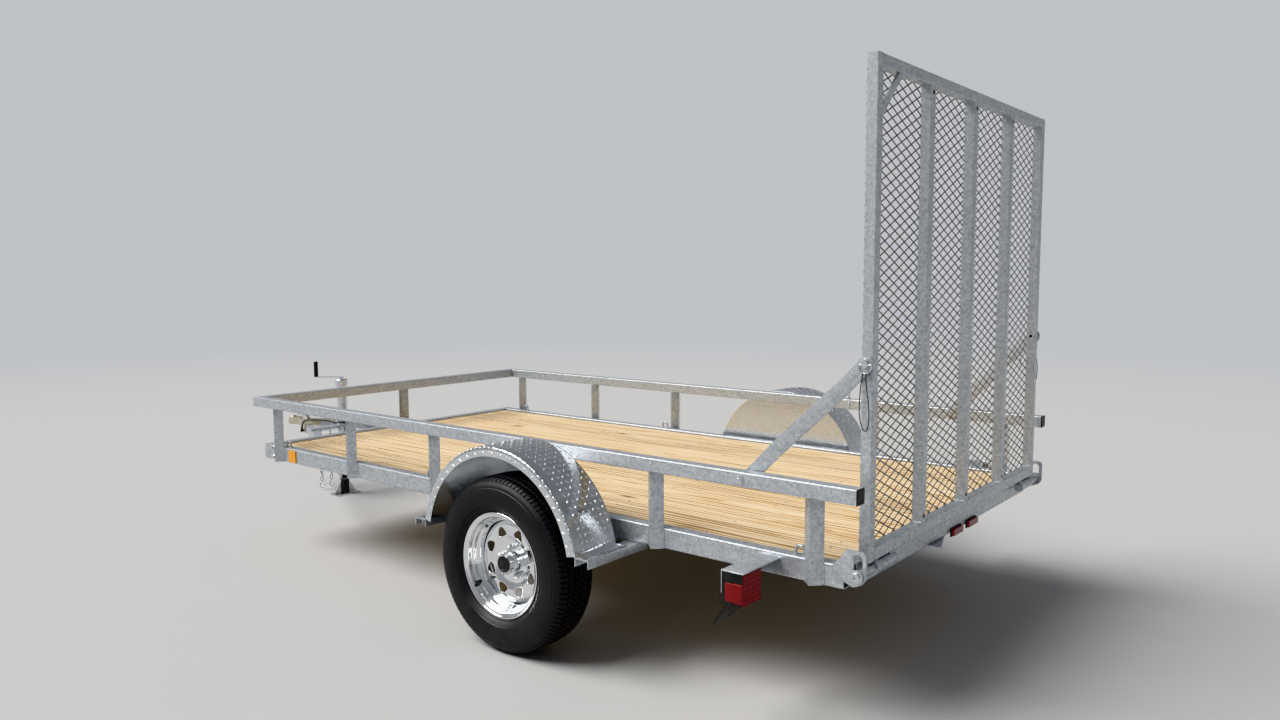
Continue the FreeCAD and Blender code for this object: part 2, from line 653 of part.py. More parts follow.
# Wheels
def tyre():
    w, r = TYRE_W / 2, TYRE_R
    c = WHEEL_Y
    # radius, half width
    half = [(RIM_SEAT_R, 66.0), (RIM_SEAT_R + TYRE_BULGE, w), (r - 22, w - 7.5), (r, w - 44.5)]
    outline = [(a, c + b) for a, b in half] + [(a, c - b) for a, b in half[::-1]]
    return revolve_y(outline, AXLE_X, AXLE_Z)


def rim():
    c = WHEEL_Y
    s = RIM_SEAT_R
    h = RIM_W / 2
    t = 4.0
    outer = [(RIM_FLANGE_R, c + h + 4), (RIM_FLANGE_R - 4, c + h + 8), (s - t, c + h + 2),
             (s - t - 1, c + 55), (s - 26, c + 26), (s - 26, c - 12), (s - t, c - 40), (s - t, c - h - 2),
             (RIM_FLANGE_R, c - h - 6), (s + 13, c - h + 1.6),
             (s, c - 66.2), (s, c - 42), (s - 26 + t, c - 14), (s - 26 + t, c + 28),
             (s, c + 56), (s, c + 66.2), (s + 13, c + h - 1.6)]
    return revolve_y(outer, AXLE_X, AXLE_Z)


DISC_T = 4.0
DISC_DISH = 14.0            # nut face behind the outer face of the disc
HUB_PILOT_R = 39.5
NUT_CIRCLE_R = 57.15


def wheel_disc():
    """Dished disc welded in the rim's well, with eight rounded hand holes."""
    s = RIM_SEAT_R - 26.0
    d, t = DISC_Y, DISC_T
    nut = d - DISC_DISH
    front = [(s, d - 34), (s, d - 18), (s - 5, d - 9), (s - 14, d - 3), (s - 26, d), (112, d - 1),
             (84, nut), (HUB_PILOT_R + 1.5, nut)]
    back = [(HUB_PILOT_R + 1.5, nut - t), (86, nut - t), (113, d - 5), (s - 26, d - t), (s - 11, d - 10),
            (s - t, d - 34)]
    disc = revolve_y(front + back, AXLE_X, AXLE_Z)
    for i in range(8):
        a = math.radians(22.5 + 45 * i)
        plan = [(AXLE_X + u * math.cos(a) + v * math.sin(a), AXLE_Z - u * math.sin(a) + v * math.cos(a))
                for u, v in ((-16, 110), (16, 110), (0, 143))]
        hole = prism(plan, "y", d - 30, d + 20)
        disc = disc.cut(hole.makeFillet(6.0, [e for e in hole.Edges if e.Length > 45]))
    return disc


def hub():
    """Hub, dust cap and five wheel nuts."""
    d = DISC_Y - DISC_DISH - DISC_T
    inner, end = BEAM_END_Y + 2.0, HUB_CAP_END_Y
    bore, depth = SPINDLE_R + BORE_GAP, DISC_Y + 6.0
    body = [(bore, inner), (52, inner), (52, inner + 24), (70, inner + 28), (70, d), (HUB_PILOT_R, d),
            (HUB_PILOT_R, d + 20), (33, d + 24), (33, end - 3), (30, end), (0, end), (0, depth),
            (bore, depth)]
    shape = revolve_y(body, AXLE_X, AXLE_Z)
    nuts = []
    for i in range(5):
        a = math.radians(90 + 72 * i)
        x, z = AXLE_X + NUT_CIRCLE_R * math.cos(a), AXLE_Z + NUT_CIRCLE_R * math.sin(a)
        nuts.append(cyl_y(x, d + DISC_T, d + DISC_T + 18, z, 9.5))
    return [shape] + nuts


# Fenders
def fender_angle():
    dz = FRAME_LOW_Z + FENDER_SHEET - FENDER_Z
    return math.degrees(math.asin(dz / FENDER_R))


def fender_skin():
    r, t = FENDER_R, FENDER_SHEET
    yi, yo = FENDER_IN_Y, FENDER_OUT_Y
    a0 = fender_angle()
    outline = [(r - t, yi), (r, yi), (r, yo - 12), (r - 1.2, yo - 6.5), (r - 4.5, yo - 2.6), (r - 9, yo - 0.7),
               (r - 14, yo), (r - FENDER_LIP, yo), (r - FENDER_LIP, yo - t), (r - 14, yo - t),
               (r - 10, yo - t - 0.6), (r - 6.6, yo - t - 2.6), (r - 4, yo - t - 6), (r - t, yo - 12)]
    arch = revolve_y(outline, AXLE_X, FENDER_Z, 180 - 2 * a0, a0)
    feet = []
    half = r * math.cos(math.radians(a0))
    for s in (-1, 1):
        x0, x1 = sorted((AXLE_X + s * (half - t), AXLE_X + s * (half + FENDER_FOOT_L)))
        feet.append(box(x0, x1, yi, yo, FRAME_LOW_Z, FRAME_LOW_Z + t))
    return fuse([arch] + feet)


def fender_back():
    """Flat inner sheet that closes the arch on the deck side."""
    t = FENDER_SHEET
    disc = cyl_y(AXLE_X, FENDER_IN_Y, FENDER_IN_Y + t, FENDER_Z, FENDER_R - t)
    above = box(AXLE_X - FENDER_R, AXLE_X + FENDER_R, FENDER_IN_Y, FENDER_IN_Y + t, FRAME_LOW_Z + t,
                FENDER_Z + FENDER_R)
    return disc.common(above)


BRACKET_X = (-448.0, 448.0)    # from the axle line


def fender_brackets():
    out = []
    for x in BRACKET_X:
        a, b = AXLE_X + x - 33, AXLE_X + x + 33
        y0, y1, z1 = FRAME_IN_Y + 5, FENDER_OUT_Y - 4, FRAME_LOW_Z
        out.append(fuse([box(a, b, y0, y1, z1 - 5, z1), box(a, a + 5, y0, y1, z1 - 32, z1),
                         box(b - 5, b, y0, y1, z1 - 32, z1)]))
    return out


# Ramp gate
UPRIGHT_Y = (-408.0, 0.0, 408.0)


def gate_frame():
    x0, x1 = GATE_REAR_X, GATE_REAR_X + GATE_TUBE
    w, t = GATE_HALF_W, GATE_TUBE
    z0, z1 = GATE_BOTTOM_Z, GATE_TOP_Z
    ends = [tube_z(x0, x1, y, y + t, z0, z1, GATE_WALL) for y in (-w, w - t)]
    holes = cyl_y(ARM_PIN_X, -w, w, ARM_PIN_Z, ARM_PIN_R + 0.1)
    ends = [e.cut(holes) for e in ends]
    top = tube_y(x0, x1, -w + t, w - t, GATE_TOP_Z - t, GATE_TOP_Z, GATE_WALL)
    bottom = tube_y(x0, x1, -w + t, w - t, GATE_BOTTOM_Z, GATE_BOTTOM_Z + t + 6, GATE_WALL)
    return fuse(ends + [top, bottom])


def gate_uprights():
    x0, x1 = GATE_REAR_X, GATE_REAR_X + GATE_TUBE
    z0, z1 = GATE_BOTTOM_Z + GATE_TUBE + 6, GATE_TOP_Z - GATE_TUBE
    out = []
    for y in UPRIGHT_Y:
        u = tube_z(x0, x1, y - GATE_TUBE / 2, y + GATE_TUBE / 2, z0, z1, GATE_WALL)
        for z in (z0 + 22, z1 - 22):
            u = u.cut(cyl_x(x0 - 5, x0 + 10, y, z, 8.0))
        out.append(u)
    return out


def gate_brace():
    x0 = GATE_REAR_X
    y = GATE_HALF_W - GATE_TUBE
    z = GATE_TOP_Z - GATE_TUBE
    pts = [(y, z - 150), (y, z - 118), (y - 118, z), (y - 150, z)]
    return prism(pts, "x", x0 + 2, x0 + 12)


def gate_mesh(direction):
    """One layer of the expanded sheet: parallel strands, all leaning one way."""
    x = GATE_REAR_X + GATE_TUBE + (0 if direction > 0 else MESH_T)
    w = GATE_HALF_W - 6.0
    z0, z1 = GATE_BOTTOM_Z + 8.0, GATE_TOP_Z - 8.0
    slope = MESH_PITCH_Z / MESH_PITCH_Y
    half = MESH_STRAND / 2 * math.sqrt(1 + slope * slope)
    strands = []
    k = 0
    lift = slope * w
    c = z0 - lift + MESH_PITCH_Z / 2
    while c < z1 + lift:
        ys = [-w, w]
        for edge in (z0, z1):
            y = (edge - c) / slope * direction
            if -w < y < w:
                ys.append(y)
        ys.sort()
        inside = [y for y in ys if z0 - 0.01 <= c + direction * slope * y <= z1 + 0.01]
        if len(inside) >= 2 and inside[-1] - inside[0] > 60:
            a, b = inside[0], inside[-1]
            za, zb = c + direction * slope * a, c + direction * slope * b
            strands.append(prism([(a, za - half), (b, zb - half), (b, zb + half), (a, za + half)],
                                 "x", x, x + MESH_T))
        c += MESH_PITCH_Z
        k += 1
    return strands


def gate_hinge():
    """Sleeve, lugs, pin and pin head at the left end of the gate."""
    y1 = GATE_HALF_W - GATE_TUBE
    y0 = y1 - 142.0
    sleeve = cyl_y(HINGE_X, y0, y1, HINGE_Z, SLEEVE_R)
    lugs = [box(GATE_REAR_X, HINGE_X + 25, y - 6, y + 6, HINGE_Z, GATE_BOTTOM_Z)
            for y in (y0 + 16, y1 - 16)]
    outside = FRAME_OUT_Y + HINGE_PLATE_T + 0.3
    pin = cyl_y(HINGE_X, y0 - 20, outside + 4, HINGE_Z, HINGE_PIN_R)
    head = cyl_y(HINGE_X, outside, outside + 10, HINGE_Z, HINGE_PIN_R + 3.0)
    return fuse([sleeve] + lugs + [pin, head])


def hinge_plate():
    """Plate on the side rail with the upright slot that carries a gate pin."""
    x, z = HINGE_X, HINGE_Z
    # outline from the pin's seat
    outline = ((39, 79), (-18, 77), (-28, 67), (-28, -9), (-14, -27), (16, -40), (82, -14), (89, -5),
               (89, 17), (61, 47))
    y0, y1 = FRAME_OUT_Y, FRAME_OUT_Y + HINGE_PLATE_T
    plate = prism([(x + dx, z + dz) for dx, dz in outline], "y", y0, y1)
    plate = plate.makeFillet(7.0, [e for e in plate.Edges if abs(e.Length - HINGE_PLATE_T) < 0.1])
    r, top = HINGE_SLOT_R, z + HINGE_SLOT_RISE
    slot = fuse([cyl_y(x, y0 - 1, y1 + 1, z, r), cyl_y(x, y0 - 1, y1 + 1, top, r),
                 box(x - r, x + r, y0 - 1, y1 + 1, z, top)])
    return plate.cut(slot)


# Support arms
def arm():
    """Flat bar with round ends that steps inward between the rail and the gate."""
    dx, dz = ARM_PIN_X - ARM_PIVOT_X, ARM_PIN_Z - ARM_PIVOT_Z
    length = math.hypot(dx, dz)
    ux, uz = dx / length, dz / length
    h = ARM_W / 2
    ya, yb, t = ARM_RAIL_Y, ARM_GATE_Y, ARM_T
    y0, y1 = yb - 10, ya + t + 10
    strip = [(ARM_PIVOT_X - uz * h, ARM_PIVOT_Z + ux * h), (ARM_PIN_X - uz * h, ARM_PIN_Z + ux * h),
             (ARM_PIN_X + uz * h, ARM_PIN_Z - ux * h), (ARM_PIVOT_X + uz * h, ARM_PIVOT_Z - ux * h)]
    bar = fuse([prism(strip, "y", y0, y1), cyl_y(ARM_PIVOT_X, y0, y1, ARM_PIVOT_Z, h),
                cyl_y(ARM_PIN_X, y0, y1, ARM_PIN_Z, h)])
    front, rear = ARM_PIVOT_X + 60.0, ARM_PIN_X - 60.0
    xa, xb = [ARM_PIVOT_X - d for d in ARM_STEP]
    plan = [(front, ya), (front, ya + t), (xa, ya + t), (xb, yb + t), (rear, yb + t), (rear, yb),
            (xb, yb), (xa, ya)]
    bar = bar.common(prism(plan, "z", ARM_PIVOT_Z - ARM_W, ARM_PIN_Z + ARM_W))
    bar = bar.cut(cyl_y(ARM_PIVOT_X, y0, y1, ARM_PIVOT_Z, ARM_BOLT_R + 0.05))
    return bar.cut(cyl_y(ARM_PIN_X, y0, y1, ARM_PIN_Z, ARM_PIN_R))


def arm_bolt():
    """Pivot bolt through the top rail, with its nut and the spacer behind the arm."""
    x, z = ARM_PIVOT_X, ARM_PIVOT_Z
    shank = cyl_y(x, ARM_RAIL_Y - 10, RAIL_OUT_Y + 8, z, ARM_BOLT_R)
    head = cyl_y(x, RAIL_OUT_Y, RAIL_OUT_Y + 8, z, 11.0)
    nut = cyl_y(x, ARM_RAIL_Y - 10, ARM_RAIL_Y - 0.3, z, 11.0)
    spacer = cyl_y(x, ARM_RAIL_Y + ARM_T + 0.3, RAIL_OUT_Y - RAIL_TUBE, z, 11.0)
    return fuse([shank, head, nut, spacer])


def gate_pin():
    """Pull pin in the arm's eye, with a ring across its head; the shank stops at the gate's face."""
    x, z = ARM_PIN_X, ARM_PIN_Z
    y = ARM_GATE_Y + ARM_T
    r, w, drop = PIN_RING_R, PIN_RING_WIRE, PIN_RING_DROP
    shank = cyl_y(x, GATE_HALF_W + 0.5, y + 6, z, ARM_PIN_R)
    head = cyl_y(x, y, y + 10, z, 11.0)
    half = math.sqrt(r * r - drop * drop)
    ring, bar = hoop((x, y + 6.0, z - drop), r, w), cyl_x(x - half, x + half, y + 6.0, z, 0.9 * w)
    return fuse([shank, head, ring, bar])


# Lamps and small fittings
LAMP_X = FRAME_REAR_X + LAMP_BEFORE_REAR
LAMP_TOP_Z = FRAME_TOP_Z - LAMP_DROP
LAMP_Y0 = FRAME_OUT_Y + LAMP_OUT
LAMP_Y1 = LAMP_Y0 + LAMP_W


def lamp_bracket():
    """Shelf from the side rail over the tail lamp, turned down in front of it."""
    x, z = LAMP_X + LAMP_D, LAMP_TOP_Z
    shelf = box(LAMP_X, x + 4.0, FRAME_OUT_Y, LAMP_Y1, z, z + 4.0)
    return fuse([shelf, box(x, x + 4.0, FRAME_OUT_Y, LAMP_Y1, z - 72.0, z + 4.0)])


def lamp_housing():
    z = LAMP_TOP_Z
    return box(LAMP_X + LAMP_LENS_D, LAMP_X + LAMP_D, LAMP_Y0, LAMP_Y1, z - LAMP_H, z)


def plate_holder():
    """Slanted blank tab under the left tail lamp."""
    x, z = LAMP_X + LAMP_D, LAMP_TOP_Z - LAMP_H
    return prism([(x - 20, z), (x - 13, z), (x + 33, z - 70), (x + 28, z - 73)], "y", LAMP_Y0 + 6, LAMP_Y1)


def id_lamp(y, x0, x1, inset):
    """Box on the rear sill that hangs a little below it."""
    z, w = FRAME_LOW_Z, ID_LAMP_W / 2 - inset
    return box(SILL_REAR_X - x1, SILL_REAR_X - x0, y - w, y + w, z - 14 + inset, z + 18 - inset)


def lamp_lens():
    """Rear lens, with the window round its outer side."""
    x0, x1, z1 = LAMP_X, LAMP_X + LAMP_LENS_D, LAMP_TOP_Z
    body = box(x0, x1, LAMP_Y0, LAMP_Y1, z1 - LAMP_H, z1)
    body = body.makeFillet(5.0, [e for e in body.Edges if abs(e.CenterOfMass.x - x0) < 0.1])
    window = box(x0 + 6, x0 + 68, LAMP_Y1 - 1, LAMP_Y1 + 2.0, z1 - 96, z1 - 21)
    return fuse([body, window.cut(box(x1, x1 + 50, LAMP_Y1 - 2, LAMP_Y1, z1 - LAMP_H, z1))])


def side_reflector():
    x, z0 = FRAME_FRONT_X - REFLECTOR_BACK, FRAME_LOW_Z + 6.0
    return box(x, x + REFLECTOR_L, FRAME_OUT_Y, FRAME_OUT_Y + 5, z0, z0 + REFLECTOR_H)


D_RING_X = (FRAME_REAR_X + RING_BEFORE_REAR, AXLE_X + RING_FROM_AXLE, FRAME_FRONT_X - RING_BEHIND_FRONT)


def d_ring(x):
    """Bent rod loop standing on the side rail."""
    rod, half = RING_ROD, RING_HALF
    y = FRAME_OUT_Y - 20.0
    z0, z1 = FRAME_TOP_Z, FRAME_TOP_Z + 14.0
    turn = [math.radians(22.5 + 45 * i) for i in range(8)]
    legs = [prism([(x + s * half + rod * math.cos(a), y + rod * math.sin(a)) for a in turn], "z", z0, z1)
            for s in (-1, 1)]
    return fuse(legs + [hoop((x, y, z1), half, rod, 180.0)])


NODES = []


def out(name, shape):
    solids = shape if isinstance(shape, list) else [shape]
    part = solids[0] if len(solids) == 1 else Part.makeCompound(solids)
    part.exportStep("parts/" + name + ".step")
    NODES.append(name)


def pair(name, shape):
    solids = shape if isinstance(shape, list) else [shape]
    out(name + "_left", solids)
    out(name + "_right", [mirror_y(s) for s in solids])


def both(name, shape):
    solids = shape if isinstance(shape, list) else [shape]
    out(name, solids + [mirror_y(s) for s in solids])


os.makedirs("parts", exist_ok=True)

pair("side_rail", side_rail())
out("front_sill", front_sill())
out("rear_sill", rear_sill())
out("crossmembers", crossmembers())
out("deck_boards", deck_boards())
pair("top_rail", top_rail_left())
out("top_rail_front", top_rail_front())
pair("posts", posts_left())
out("post_front", post_front())
both("rail_caps", rail_cap())
pair("tongue", tongue_left())
out("coupler", coupler())
out("coupler_latch", coupler_latch())
out("safety_chains", safety_chains())
out("wiring_lead", wiring_lead())
out("lead_gland", lead_gland())
out("lead_plug", lead_plug())
out("jack_mount", jack_mount())
out("jack_body", jack_body())
out("jack_leg", jack_leg())
out("jack_foot", jack_foot())
out("jack_crank", jack_crank())
out("jack_grip", jack_grip())
out("axle_beam", axle_beam())
both("leaf_springs", leaf_spring())
both("spring_hangers", spring_hangers())
both("spring_clamps", u_bolts())
pair("tyre", tyre())
pair("rim", fuse([rim(), wheel_disc()]))
pair("hub", hub())
pair("fender_skin", fender_skin())
pair("fender_back", fender_back())
both("fender_brackets", fender_brackets())
out("gate_frame", gate_frame())
out("gate_uprights", gate_uprights())
out("gate_brace", gate_brace())
out("gate_mesh_rising", gate_mesh(1))
out("gate_mesh_falling", gate_mesh(-1))
both("gate_hinges", gate_hinge())
both("hinge_plates", hinge_plate())
pair("support_arm", arm())
both("arm_bolts", arm_bolt())
pair("gate_pin", gate_pin())
both("lamp_brackets", lamp_bracket())
housing = lamp_housing()
out("lamp_housings", [housing, mirror_y(housing), plate_holder()]
    + [id_lamp(y, 0, 5, 0) for y in ID_LAMP_Y])
both("lamp_lenses", lamp_lens())
both("side_reflectors", side_reflector())
out("id_light_bar", [id_lamp(y, 5, 15, 4) for y in ID_LAMP_Y])
both("d_rings", [d_ring(x) for x in D_RING_X])

print(len(NODES), "parts")
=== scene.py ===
import math

import bmesh
import bpy
from mathutils import Matrix, Vector


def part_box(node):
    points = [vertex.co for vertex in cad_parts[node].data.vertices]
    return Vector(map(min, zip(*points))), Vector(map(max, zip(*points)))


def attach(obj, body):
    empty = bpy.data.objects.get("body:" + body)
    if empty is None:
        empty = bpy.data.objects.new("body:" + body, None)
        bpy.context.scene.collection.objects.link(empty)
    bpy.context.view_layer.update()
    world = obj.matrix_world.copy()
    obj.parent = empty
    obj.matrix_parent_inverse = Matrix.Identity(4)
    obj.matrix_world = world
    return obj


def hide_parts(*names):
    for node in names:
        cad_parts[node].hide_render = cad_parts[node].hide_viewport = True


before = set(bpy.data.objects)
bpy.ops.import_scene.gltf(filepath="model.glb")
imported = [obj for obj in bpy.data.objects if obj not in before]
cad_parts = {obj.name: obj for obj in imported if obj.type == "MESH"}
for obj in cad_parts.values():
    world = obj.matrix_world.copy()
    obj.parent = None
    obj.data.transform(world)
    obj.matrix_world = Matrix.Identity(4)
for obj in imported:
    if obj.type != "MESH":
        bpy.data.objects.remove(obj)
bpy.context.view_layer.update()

# Looks of a galvanised single-axle utility trailer, in metres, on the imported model.
# +X points at the coupler, +Y is the left side, +Z is up.

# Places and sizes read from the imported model
WHEEL_LOW, WHEEL_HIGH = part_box("tyre_left")
AXLE = (WHEEL_LOW + WHEEL_HIGH) / 2
TYRE_R = (WHEEL_HIGH.z - WHEEL_LOW.z) / 2
HUB_END = abs(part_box("hub_left")[1].y)
DECK_LOW, DECK_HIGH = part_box("deck_boards")
FENDER_LOW, FENDER_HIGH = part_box("fender_skin_left")
BRACKET_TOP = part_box("fender_brackets")[1].z
FRAME_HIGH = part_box("side_rail_left")[1]
SILL_LOW, SILL_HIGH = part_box("front_sill")

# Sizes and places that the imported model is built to
BOARD_COUNT, BOARD_GAP = 9, 0.0026
BOARD_PITCH = (DECK_HIGH.y - DECK_LOW.y + BOARD_GAP) / BOARD_COUNT
SKIN_T = 0.003
FENDER_R = 0.425
FENDER_Z = FENDER_HIGH.z - FENDER_R
CROSS_X = (0.86, 0.34, -0.18, -0.7, -1.22, -1.74, -2.18)
POST_X = (0.988, 0.321, -0.319, -1.58, -2.226)
TIE_X = (-2.165, -0.257, 0.936)
ARM_PIVOT = Vector((-1.978, 0.951, 0.7745))
ARM_PIN = Vector((-2.37, 0.8525, 1.172))
HINGE = Vector((-2.382, 0.9113, 0.517))
SIDES = (("left", 1), ("right", -1))

# Camera, fitted to the photograph: where it stands, the way it looks and its roll in radians
PICTURE_PX, FOCAL_PX, SENSOR_MM = 1280.0, 936.5, 36.0
EYE = (-3.652, 3.521, 1.455)
LOOK = Vector((0.6297, -0.7714, -0.0918))
ROLL = -0.0039


def camera():
    """The photograph's viewing angle."""
    data = bpy.data.cameras.new("camera")
    data.sensor_width = SENSOR_MM
    data.lens = FOCAL_PX / PICTURE_PX * data.sensor_width
    cam = bpy.data.objects.new("camera", data)
    cam.location = EYE
    cam.rotation_mode = "QUATERNION"
    roll = Matrix.Rotation(ROLL, 4, "Z").to_quaternion()
    cam.rotation_quaternion = LOOK.to_track_quat("-Z", "Y") @ roll
    bpy.context.scene.collection.objects.link(cam)
    bpy.context.scene.camera = cam


# Meshes: points closer than this are one, in a new mesh and in a packed one
MERGE, MERGE_CAD = 1e-6, 1e-5
# packed faces that meet flatter than this are joined before their edges are eased
FLAT = math.radians(1.0)
# parts of a bolt on a washer, as shares of its shank's diameter
WASHER_FOOT, WASHER_TOP, WASHER_T = 1.15, 1.1, 0.16
HEX_R, HEX_H = 0.95, 0.58
CROWN_FOOT, CROWN_TOP, CROWN_H = 0.82, 0.7, 0.07
# socket-head bolt: its key's radius as a share of its own, the recess's floor, and its eased rim
KEY_SHARE, KEY_FLOOR, KEY_RIM = 0.56, 0.35, 0.001


def finish_mesh(bm, name, material, body, sharp=35.0, closed=True):
    """Turn a bmesh into a piece that rides on a body; an open sheet keeps the normals it has."""
    bmesh.ops.remove_doubles(bm, verts=bm.verts[:], dist=MERGE)
    if closed:
        bmesh.ops.recalc_face_normals(bm, faces=bm.faces[:])
    mesh = bpy.data.meshes.new(name)
    bm.to_mesh(mesh)
    bm.free()
    mesh.polygons.foreach_set("use_smooth", [True] * len(mesh.polygons))
    mesh.set_sharp_from_angle(angle=math.radians(sharp))
    mesh.materials.append(material)
    piece = bpy.data.objects.new(name, mesh)
    bpy.context.scene.collection.objects.link(piece)
    if body:
        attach(piece, body)
    return piece


def along(direction, place):
    """Matrix that stands a shape's own Z along a direction, at a place."""
    turn = Vector(direction).normalized().to_track_quat("Z", "Y").to_matrix().to_4x4()
    return Matrix.Translation(place) @ turn


def add_cone(bm, matrix, r1, r2, depth, segments):
    """A cone or cylinder that starts at the matrix's place and runs along its Z."""
    bmesh.ops.create_cone(bm, cap_ends=True, cap_tris=False, segments=segments, radius1=r1, radius2=r2,
                          depth=depth, matrix=matrix @ Matrix.Translation((0, 0, depth / 2)))


def add_bolt(bm, place, direction, size):
    """Hexagon head on a washer; size is the bolt's shank diameter."""
    m = along(direction, place)
    head = m @ Matrix.Translation((0, 0, size * WASHER_T))
    crown = head @ Matrix.Translation((0, 0, size * HEX_H))
    add_cone(bm, m, size * WASHER_FOOT, size * WASHER_TOP, size * WASHER_T, segments=20)
    add_cone(bm, head, size * HEX_R, size * HEX_R, size * HEX_H, segments=6)
    add_cone(bm, crown, size * CROWN_FOOT, size * CROWN_TOP, size * CROWN_H, segments=12)


def ring_of(points, centre, steps):
    """Spin an outline of (radius, y) points about the line along Y through a centre."""
    bm = bmesh.new()
    verts = [bm.verts.new((centre.x + r, y, centre.z)) for r, y in points]
    edges = [bm.edges.new((a, b)) for a, b in zip(verts, verts[1:])]
    bmesh.ops.spin(bm, geom=verts + edges, cent=centre, axis=(0, 1, 0), angle=math.tau, steps=steps,
                   use_merge=True, use_duplicate=False)
    return bm


def lathe(bm, matrix, profile, steps):
    """Turn an outline of (radius, height) points about a matrix's own Z."""
    verts = [bm.verts.new(matrix @ Vector((r, 0.0, h))) for r, h in profile]
    edges = [bm.edges.new((a, b)) for a, b in zip(verts, verts[1:])]
    bmesh.ops.spin(bm, geom=verts + edges, cent=matrix.translation, axis=matrix.col[2].to_3d(),
                   angle=math.tau, steps=steps, use_merge=True, use_duplicate=False)


def add_socket_head(bm, matrix, radius, rise):
    """Round bolt head with a hexagonal recess, on a matrix's own Z."""
    edge = radius - KEY_RIM
    key = radius * KEY_SHARE
    top = matrix @ Matrix.Translation((0, 0, rise))
    floor = matrix @ Matrix.Translation((0, 0, rise * KEY_FLOOR))
    lathe(bm, matrix, [(radius, 0.0), (radius, rise - KEY_RIM), (edge, rise)], steps=24)
    rim = bmesh.ops.create_circle(bm, segments=24, radius=edge, matrix=top)
    mouth = bmesh.ops.create_circle(bm, segments=6, radius=key, matrix=top)
    base = bmesh.ops.create_circle(bm, segments=6, radius=key, cap_ends=True, matrix=floor)

    def edges_of(ring):
        return {e for v in ring["verts"] for e in v.link_edges if e.other_vert(v) in ring["verts"]}

    bmesh.ops.bridge_loops(bm, edges=list(edges_of(rim) | edges_of(mouth)))
    bmesh.ops.bridge_loops(bm, edges=list(edges_of(mouth) | edges_of(base)))


def add_slab(bm, low, high, bevel, segments):
    """Plate or block between two corners, its edges eased."""
    size = Vector(high) - Vector(low)
    middle = Matrix.Translation((Vector(low) + Vector(high)) / 2)
    made = bmesh.ops.create_cube(bm, size=1.0, matrix=middle @ Matrix.Diagonal((*size, 1.0)))
    edges = list({e for v in made["verts"] for e in v.link_edges})
    bmesh.ops.bevel(bm, geom=edges, offset=bevel, affect="EDGES", segments=segments, profile=0.5,
                    material=-1, clamp_overlap=True)


def eased(nodes, width, material, body, sharp_edge=40.0):
    """Stand-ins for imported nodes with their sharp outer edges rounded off."""
    for name in nodes:
        bm = bmesh.new()
        bm.from_mesh(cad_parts[name].data)
        bmesh.ops.remove_doubles(bm, verts=bm.verts[:], dist=MERGE_CAD)
        bmesh.ops.dissolve_limit(bm, angle_limit=FLAT, use_dissolve_boundaries=False, verts=bm.verts[:],
                                 edges=bm.edges[:])
        edges = [e for e in bm.edges if e.is_convex and e.calc_face_angle(0.0) > math.radians(sharp_edge)]
        bmesh.ops.bevel(bm, geom=edges, offset=width, affect="EDGES", segments=2, profile=0.5,
                        material=-1, clamp_overlap=True)
        piece = finish_mesh(bm, name + "_eased", material, body, sharp=30.0)
        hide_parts(name)


def wires(name, runs, radius, material, body, closed=False, sides=2, turns=4):
    """Bent round wire; the points of a run are those that its bends lean towards."""
    curve = bpy.data.curves.new(name, "CURVE")
    curve.dimensions = "3D"
    curve.bevel_depth = radius
    curve.bevel_resolution = sides
    curve.resolution_u = turns
    curve.use_fill_caps = True
    curve.materials.append(material)
    for points in runs:
        spline = curve.splines.new("NURBS")
        spline.points.add(len(points) - 1)
        for point, place in zip(spline.points, points):
            point.co = (*place, 1.0)
        spline.order_u = 3
        spline.use_cyclic_u = closed
        spline.use_endpoint_u = not closed
    piece = bpy.data.objects.new(name, curve)
    bpy.context.scene.collection.objects.link(piece)
    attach(piece, body)
    return piece


# Shader helpers
def value_of(tree, kind, **settings):
    """Add a node; a setting is the node's own, or the value of the input of that name."""
    node = tree.nodes.new(kind)
    for key, value in settings.items():
        if hasattr(node, key):
            setattr(node, key, value)
        else:
            node.inputs[key.replace("_", " ")].default_value = value
    return node


def new_group(name, inputs, outputs):
    """A shader node group with named sockets, its two end nodes with it."""
    group = bpy.data.node_groups.new(name, "ShaderNodeTree")
    for label, default in inputs:
        socket = group.interface.new_socket(label, in_out="INPUT", socket_type="NodeSocketFloat")
        socket.default_value = default
    for label, kind in outputs:
        group.interface.new_socket(label, in_out="OUTPUT", socket_type=kind)
    return group, group.nodes.new("NodeGroupInput"), group.nodes.new("NodeGroupOutput")


def maths(tree, operation, a, b=None):
    """One sum on sockets or plain numbers; gives the result's socket."""
    node = tree.nodes.new("ShaderNodeMath")
    node.operation = operation
    for socket, x in zip(node.inputs, (a, b)):
        if x is None:
            continue
        if isinstance(x, (int, float)):
            socket.default_value = x
        else:
            tree.links.new(x, socket)
    return node.outputs[0]


def ramp(tree, fac, stops):
    """Colour ramp over (place, colour) stops."""
    node = tree.nodes.new("ShaderNodeValToRGB")
    elements = node.color_ramp.elements
    while len(elements) < len(stops):
        elements.new(0.5)
    for element, (place, colour) in zip(elements, stops):
        element.position = place
        element.color = (*colour, 1.0)
    tree.links.new(fac, node.inputs["Fac"])
    return node.outputs["Color"]


def remap(tree, value, low, high, from_low=0.0, from_high=1.0):
    """Stretch a value between two ends; it stops at them."""
    node = value_of(tree, "ShaderNodeMapRange", From_Min=from_low, From_Max=from_high, To_Min=low,
                    To_Max=high)
    tree.links.new(value, node.inputs["Value"])
    return node.outputs["Result"]


def object_point(tree, scale=(1.0, 1.0, 1.0)):
    """Object coordinates, stretched."""
    coord = tree.nodes.new("ShaderNodeTexCoord")
    mapping = tree.nodes.new("ShaderNodeMapping")
    mapping.inputs["Scale"].default_value = scale
    tree.links.new(coord.outputs["Object"], mapping.inputs["Vector"])
    return mapping.outputs["Vector"]


